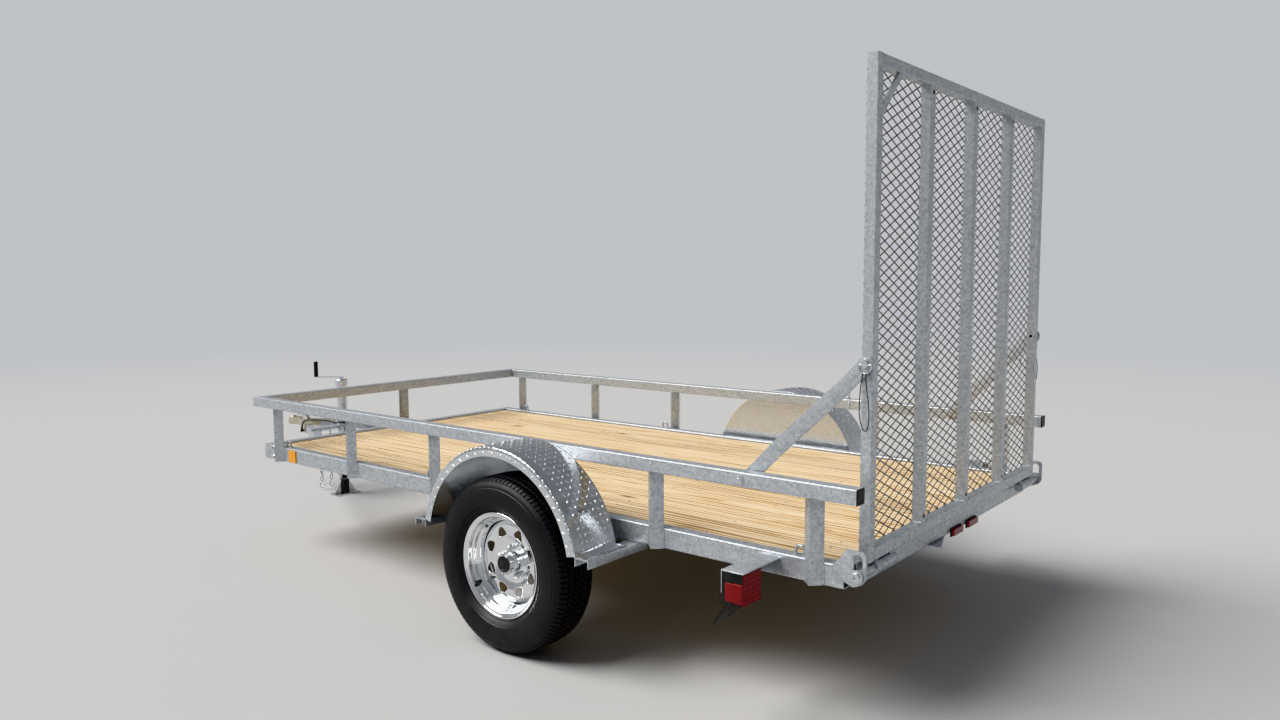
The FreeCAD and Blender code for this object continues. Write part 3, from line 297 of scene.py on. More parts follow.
def noise(tree, point, scale, detail=3.0, rough=0.55):
    """Cloudy pattern on a point; gives its value's socket."""
    node = value_of(tree, "ShaderNodeTexNoise", Scale=scale, Detail=detail, Roughness=rough)
    tree.links.new(point, node.inputs["Vector"])
    return node.outputs["Fac"]


def new_material(name, **settings):
    """A material with one Principled shader; gives the material, its tree and the shader."""
    material = bpy.data.materials.new(name)
    material.use_nodes = True
    shader = material.node_tree.nodes["Principled BSDF"]
    for key, value in settings.items():
        socket = shader.inputs[key.replace("_", " ")]
        socket.default_value = (*value, 1.0) if isinstance(value, tuple) else value
    return material, material.node_tree, shader


def vary_roughness(tree, shader, value, **ends):
    """Let a value set the shader's roughness; the ends are those of remap."""
    tree.links.new(remap(tree, value, **ends), shader.inputs["Roughness"])


def bump(tree, shader, height, distance, strength):
    """Let a height lean the shader's normal."""
    node = value_of(tree, "ShaderNodeBump", Strength=strength, Distance=distance)
    tree.links.new(height, node.inputs["Height"])
    tree.links.new(node.outputs["Normal"], shader.inputs["Normal"])


def spangle_group():
    """Zinc crystals under faint clouds: a shade from 0 to 1 and a small height."""
    group, start, end = new_group(
        "zinc_spangle", [("Crystal size", 0.012), ("Cloud size", 0.06), ("Contrast", 0.5)],
        [("Shade", "NodeSocketFloat"), ("Height", "NodeSocketFloat")])
    point = object_point(group)
    warp = value_of(group, "ShaderNodeTexNoise", Scale=60.0, Detail=2.0)
    group.links.new(point, warp.inputs["Vector"])
    shift = value_of(group, "ShaderNodeMixRGB", blend_type="ADD", Fac=0.006)
    group.links.new(point, shift.inputs["Color1"])
    group.links.new(warp.outputs["Color"], shift.inputs["Color2"])
    cells = value_of(group, "ShaderNodeTexVoronoi", feature="F1")
    group.links.new(shift.outputs["Color"], cells.inputs["Vector"])
    group.links.new(maths(group, "DIVIDE", 1.0, start.outputs["Crystal size"]), cells.inputs["Scale"])
    crystal = group.nodes.new("ShaderNodeSeparateColor")
    group.links.new(cells.outputs["Color"], crystal.inputs["Color"])
    clouds = value_of(group, "ShaderNodeTexNoise", Detail=5.0, Roughness=0.65)
    group.links.new(point, clouds.inputs["Vector"])
    group.links.new(maths(group, "DIVIDE", 1.0, start.outputs["Cloud size"]), clouds.inputs["Scale"])
    mixed = maths(group, "ADD", maths(group, "MULTIPLY", crystal.outputs["Red"], 0.45),
                  maths(group, "MULTIPLY", clouds.outputs["Fac"], 0.55))
    centred = maths(group, "MULTIPLY", maths(group, "SUBTRACT", mixed, 0.5), start.outputs["Contrast"])
    group.links.new(maths(group, "ADD", centred, 0.5), end.inputs["Shade"])
    fine = noise(group, point, scale=300.0, detail=3.0)
    group.links.new(maths(group, "ADD", maths(group, "MULTIPLY", crystal.outputs["Green"], 0.5), fine),
                    end.inputs["Height"])
    return group


def dust_group():
    """Mask of settled dust and old splashes, more towards the ground."""
    group, start, end = new_group("road_dust", [("Amount", 0.4), ("Top", 0.6)],
                                  [("Mask", "NodeSocketFloat")])
    coord = group.nodes.new("ShaderNodeTexCoord")
    parts = group.nodes.new("ShaderNodeSeparateXYZ")
    group.links.new(coord.outputs["Object"], parts.inputs["Vector"])
    low = maths(group, "SUBTRACT", 1.0, maths(group, "DIVIDE", parts.outputs["Z"], start.outputs["Top"]))
    spots = noise(group, coord.outputs["Object"], scale=22.0, detail=5.0, rough=0.65)
    patch = remap(group, spots, low=0.0, high=1.0, from_low=0.42, from_high=0.72)
    mask = maths(group, "MULTIPLY", maths(group, "MULTIPLY", low, patch), start.outputs["Amount"])
    node = value_of(group, "ShaderNodeClamp")
    group.links.new(mask, node.inputs["Value"])
    group.links.new(node.outputs["Result"], end.inputs["Mask"])
    return group


def use_group(tree, group, **values):
    """Place a group in a tree with its own values."""
    node = tree.nodes.new("ShaderNodeGroup")
    node.node_tree = group
    for key, value in values.items():
        node.inputs[key.replace("_", " ")].default_value = value
    return node


def dusty(tree, colour, amount, dust=(0.36, 0.32, 0.26)):
    """Lay the dust over a colour."""
    mix = value_of(tree, "ShaderNodeMixRGB", blend_type="MIX")
    mix.inputs["Color2"].default_value = (*dust, 1.0)
    tree.links.new(use_group(tree, DUST, Amount=amount).outputs["Mask"], mix.inputs["Fac"])
    tree.links.new(colour, mix.inputs["Color1"])
    return mix.outputs["Color"]


# Materials
def galvanised_material(name, share=1.0):
    """Hot-dip zinc: pale blue-grey, evenly spangled; the share darkens it, which paints shade into a copy of
    it.
    """
    material, tree, shader = new_material(name, Metallic=0.6)
    zinc = use_group(tree, SPANGLE, Crystal_size=0.008, Cloud_size=0.03, Contrast=0.85)
    tints = ((0.2, (0.36, 0.395, 0.43)), (0.5, (0.50, 0.53, 0.56)), (0.8, (0.64, 0.665, 0.69)))
    colour = ramp(tree, zinc.outputs["Shade"], [(at, (r * share, g * share ** 1.15, b * share ** 1.3))
                                                for at, (r, g, b) in tints])
    tree.links.new(dusty(tree, colour, amount=0.22), shader.inputs["Base Color"])
    vary_roughness(tree, shader, zinc.outputs["Shade"], low=0.46, high=0.28, from_low=0.2, from_high=0.8)
    bump(tree, shader, zinc.outputs["Height"], distance=0.0005, strength=0.45)
    return material


def zinc_plate_material():
    """Bright plated steel of bolts, spring clamps, chains and the jack."""
    material, tree, shader = new_material("zinc_plate", Metallic=0.95)
    zinc = use_group(tree, SPANGLE, Crystal_size=0.004, Cloud_size=0.02, Contrast=0.6)
    colour = ramp(tree, zinc.outputs["Shade"], [(0.2, (0.56, 0.58, 0.6)), (0.8, (0.8, 0.81, 0.82))])
    tree.links.new(dusty(tree, colour, amount=0.15), shader.inputs["Base Color"])
    vary_roughness(tree, shader, zinc.outputs["Shade"], low=0.34, high=0.18)
    bump(tree, shader, zinc.outputs["Height"], distance=0.0003, strength=0.35)
    return material


def yellow_zinc_material():
    """Yellow-passivated zinc of the coupler, dull and blotchy."""
    material, tree, shader = new_material("yellow_zinc", Metallic=0.85)
    zinc = use_group(tree, SPANGLE, Crystal_size=0.009, Cloud_size=0.02, Contrast=0.8)
    colour = ramp(tree, zinc.outputs["Shade"], [(0.1, (0.42, 0.4, 0.3)), (0.5, (0.6, 0.56, 0.42)),
                                                (0.9, (0.74, 0.72, 0.62))])
    tree.links.new(colour, shader.inputs["Base Color"])
    vary_roughness(tree, shader, zinc.outputs["Shade"], low=0.45, high=0.26)
    bump(tree, shader, zinc.outputs["Height"], distance=0.0004, strength=0.4)
    return material


def rim_material():
    """Chromed wheel with faint polishing clouds and a little road dust."""
    material, tree, shader = new_material("silver_rim", Metallic=1.0)
    point = object_point(tree)
    cloud = noise(tree, point, scale=26.0, detail=4.0)
    vary_roughness(tree, shader, cloud, low=0.05, high=0.15, from_low=0.35, from_high=0.7)
    colour = ramp(tree, cloud, [(0.3, (0.78, 0.8, 0.82)), (0.7, (0.9, 0.91, 0.92))])
    tree.links.new(dusty(tree, colour, amount=0.12), shader.inputs["Base Color"])
    bump(tree, shader, noise(tree, point, scale=90.0, detail=3.0), distance=0.0006, strength=0.12)
    return material


def tread_plate_material(name, share, rough):
    """Mill-bright aluminium, rolled a little uneven, with a few scuffs; the share scales its colour: a lighter
    copy paints highlights on the lozenges' crests, a darker one paints dark reflection on the plate.
    """
    material, tree, shader = new_material(name, Metallic=1.0)
    point = object_point(tree)
    cloud = noise(tree, point, scale=14.0, detail=5.0, rough=0.6)
    scratch = noise(tree, object_point(tree, (3.0, 140.0, 3.0)), scale=6.0, detail=4.0, rough=0.7)
    colour = ramp(tree, cloud, [(0.3, (0.74 * share, 0.77 * share, 0.81 * share)),
                                (0.7, (0.9 * share, 0.915 * share, 0.93 * share))])
    tree.links.new(colour, shader.inputs["Base Color"])
    wear = maths(tree, "ADD", cloud, maths(tree, "MULTIPLY", scratch, 0.5))
    vary_roughness(tree, shader, wear, low=rough, high=rough + 0.11, from_low=0.45, from_high=1.1)
    waves = maths(tree, "ADD", noise(tree, point, scale=24.0, detail=2.0),
                  maths(tree, "MULTIPLY", scratch, 0.15))
    bump(tree, shader, waves, distance=0.0022, strength=0.3)
    return material


def smooth_sheet_material():
    """Plain rolled aluminium sheet."""
    material, tree, shader = new_material("smooth_sheet", Metallic=0.9)
    streak = noise(tree, object_point(tree, (4.0, 4.0, 90.0)), scale=4.0, detail=5.0, rough=0.65)
    colour = ramp(tree, streak, [(0.3, (0.58, 0.61, 0.64)), (0.7, (0.72, 0.75, 0.78))])
    tree.links.new(dusty(tree, colour, amount=0.5), shader.inputs["Base Color"])
    vary_roughness(tree, shader, streak, low=0.22, high=0.38, from_low=0.3, from_high=0.7)
    bump(tree, shader, streak, distance=0.0004, strength=0.3)
    return material


def tyre_material():
    """Charcoal rubber, a little dusty."""
    material, tree, shader = new_material("tyre_rubber", Specular_IOR_Level=0.55)
    point = object_point(tree)
    cloud = noise(tree, point, scale=9.0, detail=5.0, rough=0.65)
    colour = ramp(tree, cloud, [(0.3, (0.007, 0.007, 0.009)), (0.7, (0.016, 0.016, 0.018))])
    tree.links.new(dusty(tree, colour, amount=0.2, dust=(0.1, 0.088, 0.072)), shader.inputs["Base Color"])
    vary_roughness(tree, shader, cloud, low=0.4, high=0.6, from_low=0.3, from_high=0.7)
    bump(tree, shader, noise(tree, point, scale=500.0, detail=3.0), distance=0.0004, strength=0.35)
    return material


def black_material(name, rough, tint, grain=700.0):
    """Black rubber, plastic or paint, by its roughness and grain."""
    material, tree, shader = new_material(name)
    point = object_point(tree)
    cloud = noise(tree, point, scale=40.0, detail=4.0)
    colour = ramp(tree, cloud, [(0.3, (tint * 0.7, tint * 0.7, tint * 0.75)),
                                (0.7, (tint * 1.4, tint * 1.4, tint * 1.5))])
    tree.links.new(dusty(tree, colour, amount=0.15), shader.inputs["Base Color"])
    vary_roughness(tree, shader, cloud, low=rough - 0.08, high=rough + 0.1, from_low=0.3, from_high=0.7)
    bump(tree, shader, noise(tree, point, scale=grain, detail=2.0), distance=0.0002, strength=0.4)
    return material


def lens_material(name, dark, light):
    """Moulded lens: deep colour under a clear surface, with a fine prism pattern."""
    material, tree, shader = new_material(name, Roughness=0.22, Coat_Weight=0.3, Coat_Roughness=0.08)
    point = object_point(tree)
    prisms = value_of(tree, "ShaderNodeTexVoronoi", feature="F1", distance="CHEBYCHEV", Scale=190.0,
                      Randomness=0.0)
    tree.links.new(point, prisms.inputs["Vector"])
    colour = ramp(tree, prisms.outputs["Distance"], [(0.0, light), (0.6, dark)])
    tree.links.new(colour, shader.inputs["Base Color"])
    bump(tree, shader, prisms.outputs["Distance"], distance=0.0006, strength=0.35)
    return material


# Pine boards: the colours of knots and of the painted shade along each board's eased edges, and where that
# painted shade darkens a board's edge, from its middle in shares of its width
KNOT_BROWN, EDGE_SHADE_BROWN = (0.15, 0.07, 0.027), (0.09, 0.05, 0.022)
EDGE_SHADE_FROM, EDGE_SHADE_TO = 0.47, 0.492
# how far along and up the timber of one board lies from the next one's
BOARD_SHIFT_X, BOARD_SHIFT_Z = 40.0, 3.7


def board_timber(tree):
    """Each board's own piece of timber: place across in boards, row, chance and a point in it."""
    coord = tree.nodes.new("ShaderNodeTexCoord")
    parts = tree.nodes.new("ShaderNodeSeparateXYZ")
    tree.links.new(coord.outputs["Object"], parts.inputs["Vector"])
    across = maths(tree, "DIVIDE", maths(tree, "SUBTRACT", parts.outputs["Y"], DECK_LOW.y), BOARD_PITCH)
    row = maths(tree, "FLOOR", across)
    chance = value_of(tree, "ShaderNodeTexWhiteNoise", noise_dimensions="1D")
    tree.links.new(row, chance.inputs["W"])
    place = tree.nodes.new("ShaderNodeCombineXYZ")
    shift = maths(tree, "MULTIPLY", chance.outputs["Value"], BOARD_SHIFT_X)
    tree.links.new(maths(tree, "ADD", parts.outputs["X"], shift), place.inputs["X"])
    tree.links.new(parts.outputs["Y"], place.inputs["Y"])
    lift = maths(tree, "MULTIPLY", row, BOARD_SHIFT_Z)
    tree.links.new(maths(tree, "ADD", parts.outputs["Z"], lift), place.inputs["Z"])
    return across, row, chance.outputs["Value"], place.outputs["Vector"]


def pine_grain(tree, place):
    """Grain lines that bend round the knots; gives the grain, the fibre and the knots' mask."""
    def stretched(scale):
        mapping = tree.nodes.new("ShaderNodeMapping")
        mapping.inputs["Scale"].default_value = scale
        tree.links.new(place, mapping.inputs["Vector"])
        return mapping.outputs["Vector"]

    def share(value, part):
        return maths(tree, "MULTIPLY", value, part)

    knots = value_of(tree, "ShaderNodeTexVoronoi", feature="F1", Scale=1.0, Randomness=1.0)
    tree.links.new(stretched((1.9, 6.0, 6.0)), knots.inputs["Vector"])
    away = knots.outputs["Distance"]
    knot = remap(tree, away, low=1.0, high=0.0, from_low=0.035, from_high=0.12)
    bend = share(remap(tree, away, low=1.0, high=0.0, from_low=0.05, from_high=0.42), 1.5)
    warped = value_of(tree, "ShaderNodeMixRGB", blend_type="ADD", Fac=1.0)
    tree.links.new(stretched((0.8, 30.0, 30.0)), warped.inputs["Color1"])
    tree.links.new(bend, warped.inputs["Color2"])
    rings = value_of(tree, "ShaderNodeTexNoise", Scale=1.0, Detail=4.0, Roughness=0.6, Distortion=0.7)
    tree.links.new(warped.outputs["Color"], rings.inputs["Vector"])
    bands = value_of(tree, "ShaderNodeTexWave", wave_type="BANDS", bands_direction="Y", Scale=1.5,
                     Distortion=10.0, Detail=3.0, Detail_Scale=1.3)
    tree.links.new(stretched((0.45, 9.0, 9.0)), bands.inputs["Vector"])
    fibre = noise(tree, stretched((14.0, 600.0, 600.0)), scale=1.0, detail=3.0, rough=0.7)
    stain = noise(tree, stretched((1.3, 5.0, 5.0)), scale=1.0, detail=3.0, rough=0.6)
    grain = maths(tree, "ADD", share(rings.outputs["Fac"], 0.5), share(bands.outputs["Fac"], 0.26))
    grain = maths(tree, "ADD", grain, share(fibre, 0.14))
    grain = maths(tree, "ADD", grain, share(stain, 0.12))
    return grain, fibre, knot


def tinted(tree, mask, under, colour):
    """Lay a plain colour over another one where a mask says so."""
    mix = value_of(tree, "ShaderNodeMixRGB", blend_type="MIX")
    mix.inputs["Color2"].default_value = (*colour, 1.0)
    tree.links.new(mask, mix.inputs["Fac"])
    tree.links.new(under, mix.inputs["Color1"])
    return mix.outputs["Color"]


def pine_material():
    """Dry pine planks: grain along the trailer, its own timber for each board, knots."""
    material, tree, shader = new_material("pine_boards", Specular_IOR_Level=0.3)
    across, row, chance, place = board_timber(tree)
    grain, fibre, knot = pine_grain(tree, place)
    colour = ramp(tree, grain, [(0.36, (0.42, 0.25, 0.115)), (0.45, (0.68, 0.475, 0.255)),
                                (0.54, (0.87, 0.68, 0.425)), (0.68, (0.95, 0.81, 0.58))])
    shade = value_of(tree, "ShaderNodeHueSaturation", Saturation=1.0)
    tree.links.new(colour, shade.inputs["Color"])
    tree.links.new(remap(tree, chance, low=0.84, high=1.06), shade.inputs["Value"])
    colour = tinted(tree, maths(tree, "MULTIPLY", knot, 0.85), shade.outputs["Color"], KNOT_BROWN)
    # painted shade: each board darkens towards its eased edges, next to the gaps
    edge = maths(tree, "ABSOLUTE", maths(tree, "SUBTRACT", maths(tree, "SUBTRACT", across, row), 0.5))
    edge_shade = remap(tree, edge, low=0.0, high=0.8, from_low=EDGE_SHADE_FROM, from_high=EDGE_SHADE_TO)
    tree.links.new(tinted(tree, edge_shade, colour, EDGE_SHADE_BROWN), shader.inputs["Base Color"])
    vary_roughness(tree, shader, grain, low=0.78, high=0.55, from_low=0.3, from_high=0.8)
    height = maths(tree, "ADD", grain, maths(tree, "MULTIPLY", fibre, 0.6))
    bump(tree, shader, height, distance=0.0014, strength=0.5)
    return material


SPANGLE = spangle_group()
DUST = dust_group()
GALVANISED = galvanised_material("galvanised_steel")
# painted shade: the gate's mesh gets a darker copy of the zinc
MESH_ZINC_PAINTED_SHADE = galvanised_material("mesh_zinc_painted_shade", 0.42)
ZINC = zinc_plate_material()
YELLOW_ZINC = yellow_zinc_material()
CHROME = rim_material()
# painted light: the plate's darker copy paints dark reflection, the crests' lighter copy paints highlights;
# the crests are also rougher
TREAD_PLATE_PAINTED_DARK = tread_plate_material("tread_plate", 0.85, 0.05)
TREAD_CRESTS_PAINTED_HIGHLIGHT = tread_plate_material("tread_crests", 1.06, 0.26)
SHEET = smooth_sheet_material()
TYRE_RUBBER = tyre_material()
BLACK_RUBBER = black_material("black_rubber", 0.5, 0.016)
BLACK_PLASTIC = black_material("black_plastic", 0.4, 0.014)
BLACK_PAINT = black_material("black_steel", 0.35, 0.018, 300.0)
RED_LENS = lens_material("red_lens", (0.1, 0.0005, 0.002), (0.34, 0.002, 0.006))
AMBER_LENS = lens_material("amber_lens", (0.75, 0.26, 0.01), (1.0, 0.5, 0.03))
PINE = pine_material()

FINISHES = {
    "galvanised_steel": GALVANISED, "pine_boards": PINE, "zinc_plate": ZINC, "yellow_zinc": YELLOW_ZINC,
    "black_steel": BLACK_PAINT, "black_rubber": BLACK_RUBBER, "tread_plate": TREAD_PLATE_PAINTED_DARK,
    "smooth_sheet": SHEET, "black_plastic": BLACK_PLASTIC, "red_lens": RED_LENS,
    "amber_lens": AMBER_LENS, "tyre_rubber": TYRE_RUBBER, "silver_rim": CHROME}


def dress_nodes():
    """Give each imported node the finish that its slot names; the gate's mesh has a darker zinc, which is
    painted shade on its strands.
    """
    for name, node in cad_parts.items():
        for slot in node.material_slots:
            slot.material = FINISHES[slot.material.name.split(".")[0]]
            if name.startswith("gate_mesh"):
                # painted shade: the mesh takes the darker zinc
                slot.material = MESH_ZINC_PAINTED_SHADE


# Wiring lead: out of the left tongue tube, over it, round the jack's tube and back between the tubes
LEAD_R = 0.0045
LEAD_POINTS = (
    (2.034, 0.14304, 0.425), (2.034, 0.14304, 0.452), (2.0218, 0.1373, 0.4754), (2.0005, 0.1275, 0.4889),
    (1.962, 0.105, 0.492), (1.905, 0.076, 0.4915), (1.85, 0.056, 0.4885), (1.801, 0.0515, 0.486),
    (1.7543, 0.0515, 0.485), (1.7225, 0.0213, 0.484), (1.7225, -0.0213, 0.483), (1.7523, -0.0505, 0.481),
    (1.8, -0.051, 0.477), (1.85, -0.045, 0.47), (1.89, -0.036, 0.46), (1.923, -0.027, 0.449),
    (1.95, -0.018, 0.4365))
# ribs of the plug's grip and of the strain relief: how many, and from one to the next
GRIP_RIBS, GRIP_RIB_PITCH = 4, 0.0024
RELIEF_RIBS, RELIEF_RIB_PITCH = 5, 0.0042
# pins in the plug's face: how many, how far off its middle, and where they start along the plug
PIN_COUNT, PIN_OFF, PIN_START = 4, 0.0046, 0.0368


def lead_plug():
    """Ribbed grip and round plug with its pins, on the end of the lead."""
    end = Vector(LEAD_POINTS[-1])
    m = along(end - Vector(LEAD_POINTS[-2]), end)
    profile = [(0.0, 0.0), (0.0058, 0.0)]
    for i in range(GRIP_RIBS):
        h = 0.001 + i * GRIP_RIB_PITCH
        crest = 0.0072 + 0.0002 * i
        profile += [(0.0066 + 0.0003 * i, h), (crest, h + 0.0006), (crest, h + 0.0014),
                    (0.0064 + 0.0003 * i, h + 0.0018)]
    profile += [(0.0085, 0.0108), (0.0105, 0.0125), (0.0109, 0.015), (0.0109, 0.034), (0.0098, 0.0372),
                (0.0, 0.0372)]
    bm = bmesh.new()
    lathe(bm, m, profile, steps=28)
    for turn in range(PIN_COUNT):
        side = m @ Matrix.Rotation(math.radians(45 + 90 * turn), 4, "Z")
        add_cone(bm, side @ Matrix.Translation((PIN_OFF, 0.0, PIN_START)), r1=0.0019, r2=0.0017,
                 depth=0.0011, segments=12)
    plug = finish_mesh(bm, "lead_plug_body", BLACK_PLASTIC, "chassis")
    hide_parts("lead_plug")
    return plug


def strain_relief():
    """Tapered, ribbed sleeve where the lead leaves its gland."""
    profile = [(0.0, -0.001), (0.0078, -0.001), (0.0078, 0.002)]
    for i in range(RELIEF_RIBS):
        h, r = 0.003 + i * RELIEF_RIB_PITCH, 0.0072 - i * 0.00035
        profile += [(r - 0.0009, h), (r, h + 0.0008), (r, h + 0.0024), (r - 0.0009, h + 0.003)]
    profile += [(0.005, 0.0245), (0.0047, 0.0252), (0.0, 0.0252)]
    bm = bmesh.new()
    lathe(bm, along((0, 0, 1), Vector(LEAD_POINTS[0])), profile, steps=24)
    finish_mesh(bm, "lead_strain_relief", BLACK_RUBBER, "chassis")


def wiring_lead():
    """The lead as one round cable that carries its plug."""
    lead = wires("wiring_lead_cable", [LEAD_POINTS], LEAD_R, BLACK_RUBBER, "chassis",
                 sides=4, turns=10)
    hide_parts("wiring_lead")
    lead_plug()
    strain_relief()


# Safety chains
CHAIN_X, CHAIN_Y = 1.987, 0.036
CHAIN_TOP_Z, CHAIN_PITCH, CHAIN_LINKS = 0.39475, 0.0285, 12
CHAIN_WIRE_R = 0.0035
# from the last link's middle down to where its hook hangs
HOOK_DROP = 0.02125
# the rod across the tongue that the chains hang from
CHAIN_ROD_HALF, CHAIN_ROD_Z = 0.146, 0.405
# across and up from a link's middle
LINK_BENDS = ((0.009, -0.008), (0.009, 0.008), (0.0084, 0.0178), (-0.0084, 0.0178), (-0.009, 0.008),
              (-0.009, -0.008), (-0.0084, -0.0178), (0.0084, -0.0178))
# across from the chain, up from where the hook hangs
HOOK_BENDS = ((-0.003, 0.0), (0.006, -0.001), (0.0135, -0.014), (0.014, -0.031), (0.004, -0.0462),
              (-0.010, -0.0452), (-0.0185, -0.036), (-0.0193, -0.027))


def safety_chains():
    """Two hanging chains of round links on a rod, with open hooks at their ends."""
    links = []
    rods = [[(CHAIN_X, y, CHAIN_ROD_Z) for y in (-CHAIN_ROD_HALF, 0.0, CHAIN_ROD_HALF)]]
    for sign in (1, -1):
        y = sign * CHAIN_Y
        for i in range(CHAIN_LINKS):
            z = CHAIN_TOP_Z - i * CHAIN_PITCH
            if i % 2:
                links.append([(CHAIN_X, y + a, z + b) for a, b in LINK_BENDS])
            else:
                links.append([(CHAIN_X + a, y, z + b) for a, b in LINK_BENDS])
        rods.append([(CHAIN_X, y + a, z - HOOK_DROP + b) for a, b in HOOK_BENDS])
    piece = wires("chain_links", links, CHAIN_WIRE_R, ZINC, "chassis", closed=True, turns=3)
    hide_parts("safety_chains")
    wires("chain_hooks", rods, CHAIN_WIRE_R, ZINC, "chassis")


# Tie rings: place across the trailer, from the middle to a leg, and the rod's radius
TIE_Y, TIE_HALF, TIE_ROD_R = 0.873, 0.0181, 0.0054
# share of the half width, height over the rail
TIE_BENDS = ((-1.0, -0.001), (-1.0, 0.0215), (-0.42, 0.0322), (0.42, 0.0322), (1.0, 0.0215), (1.0, -0.001))
# weld round each foot: its middle line's radius and height over the rail, and the bead's own radius
FOOT_WELD_R, FOOT_WELD_Z, FOOT_BEAD_R = 0.0072, 0.0008, 0.0021
EIGHT_POINTS = ((1, 0.4), (0.4, 1), (-0.4, 1), (-1, 0.4), (-1, -0.4), (-0.4, -1), (0.4, -1), (1, -0.4))


def tie_rings():
    """Bent rods on the side rails, with a bead of weld round each foot."""
    loops, beads = [], []
    z = FRAME_HIGH.z
    for sign in (1, -1):
        y = sign * TIE_Y
        for x in TIE_X:
            loops.append([(x + share * TIE_HALF, y, z + rise) for share, rise in TIE_BENDS])
            for foot in (x - TIE_HALF, x + TIE_HALF):
                beads.append([(foot + a * FOOT_WELD_R, y + b * FOOT_WELD_R, z + FOOT_WELD_Z)
                              for a, b in EIGHT_POINTS])
    piece = wires("tie_rings", loops, TIE_ROD_R, GALVANISED, "chassis", sides=3, turns=5)
    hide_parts("d_rings")
    wires("tie_ring_welds", beads, FOOT_BEAD_R, GALVANISED, "chassis",
          closed=True, sides=1, turns=2)


# Pull pins: the lanyard's bends, forward, outwards and up from the pin
LANYARD_WIRE_R = 0.0016
LANYARD_BENDS = ((0.006, 0.0, -0.022), (0.012, 0.001, -0.06), (0.016, 0.0, -0.11), (0.017, 0.0, -0.16),
                 (0.004, 0.0, -0.206), (-0.012, 0.0, -0.208), (-0.018, 0.0, -0.165),
                 (-0.014, 0.001, -0.11), (-0.004, 0.0, -0.06), (-0.003, 0.0, -0.024))
# spring clip: its middle, and its bends forward and up from there
CLIP_X, CLIP_Y, CLIP_Z = -2.3125, 0.8435, 1.1015
CLIP_WIRE_R = 0.0014
CLIP_BENDS = ((0.0065, 0.008), (0.0, 0.0215), (-0.0065, 0.008), (-0.006, -0.01), (0.0, -0.02),
              (0.006, -0.01))
# the clip's chain: its links, the first one's height, and how far down and back each next one is
CLIP_LINKS, CLIP_LINK_TOP, CLIP_LINK_PITCH, CLIP_LINK_LEAN = 5, 1.0795, 0.0115, 0.001
CLIP_LINK_BENDS = ((0.0042, 0.003), (0.0, 0.0098), (-0.0042, 0.003), (-0.0042, -0.003), (0.0, -0.0098),
                   (0.0042, -0.003))


def pin_tethers(side, sign):
    """Thin wire lanyard of the pull pin, and the spring clip with its short chain."""
    body = "arm_" + side
    pin_y, clip_y = sign * ARM_PIN.y, sign * CLIP_Y
    lanyard = [(ARM_PIN.x + a, pin_y + sign * b, ARM_PIN.z + c) for a, b, c in LANYARD_BENDS]
    wires("pin_lanyard_" + side, [lanyard], LANYARD_WIRE_R, BLACK_RUBBER, body,
          sides=2, turns=6)
    rings = [[(CLIP_X + a, clip_y, CLIP_Z + b) for a, b in CLIP_BENDS]]
    for i in range(CLIP_LINKS):
        x, z = CLIP_X - CLIP_LINK_LEAN * i, CLIP_LINK_TOP - i * CLIP_LINK_PITCH
        if i % 2:
            rings.append([(x, clip_y + a, z + b) for a, b in CLIP_LINK_BENDS])
        else:
            rings.append([(x + a, clip_y, z + b) for a, b in CLIP_LINK_BENDS])
    wires("arm_clip_" + side, rings, CLIP_WIRE_R, ZINC, body, closed=True, sides=1, turns=3)


# Welds
POST_TOE, POST_WELD_Y = 0.0365, 0.8935
POST_WELD_Z = (0.465, 0.488, 0.51, 0.532)
POST_BEAD_R = 0.0022
# gate uprights: their middles across the trailer, half their width, and the beads at both ends
UPRIGHT_Y, UPRIGHT_HALF = (-0.408, 0.0, 0.408), 0.0188
GATE_TUBE_INNER = 0.7972
GATE_WELD_X = (-2.3885, -2.378, -2.362, -2.3515)
GATE_WELD_Z = (0.5865, 2.0798)
GATE_BEAD_R = 0.002


def post_welds():
    """Beads along the toes of the posts."""
    beads = []
    for sign in (1, -1):
        for x in POST_X:
            for toe in (-POST_TOE, POST_TOE):
                beads.append([(x + toe, sign * POST_WELD_Y, z) for z in POST_WELD_Z])
    wires("post_welds", beads, POST_BEAD_R, GALVANISED, "chassis", sides=1, turns=2)


def gate_welds():
    """Beads where the gate's uprights and side tubes meet its top and bottom tubes."""
    runs = []
    for y in UPRIGHT_Y:
        for edge in (-UPRIGHT_HALF, UPRIGHT_HALF):
            for z in GATE_WELD_Z:
                runs.append([(x, y + edge, z) for x in GATE_WELD_X])
    for sign in (-1, 1):
        for z in GATE_WELD_Z:
            runs.append([(x, sign * GATE_TUBE_INNER, z) for x in GATE_WELD_X])
    wires("gate_welds", runs, GATE_BEAD_R, GALVANISED, "gate", sides=1, turns=2)


# Tyres
TREAD_STEPS = 104
TREAD_RISE = 0.0067
# half of the outline, from the bead out: radius, distance from the tyre's centre plane
SIDEWALL = ((0.1905, 0.066), (0.1965, 0.0725), (0.205, 0.0765), (0.2115, 0.0825), (0.2145, 0.083),
            (0.218, 0.0865), (0.232, 0.0945), (0.2335, 0.0938), (0.236, 0.0962), (0.252, 0.1006),
            (0.27, 0.1023), (0.288, 0.1016), (0.3, 0.0999), (0.302, 0.0982), (0.305, 0.0984),
            (0.3165, 0.0938))
SHOULDER = ((0.3235, 0.0885), (0.3325, 0.0755), (0.3365, 0.0565))
RIBS = ((0.3372, 0.0505), (0.3374, 0.0265), (0.3372, 0.0215), (0.3372, 0.0045))
# slant of the tread at a distance from the centre plane, in steps round the tyre
TREAD_SLANT = {0.0505: 0.45, 0.0265: -0.45, 0.0215: 0.5, 0.0045: -0.5, 0.0885: 0.12}
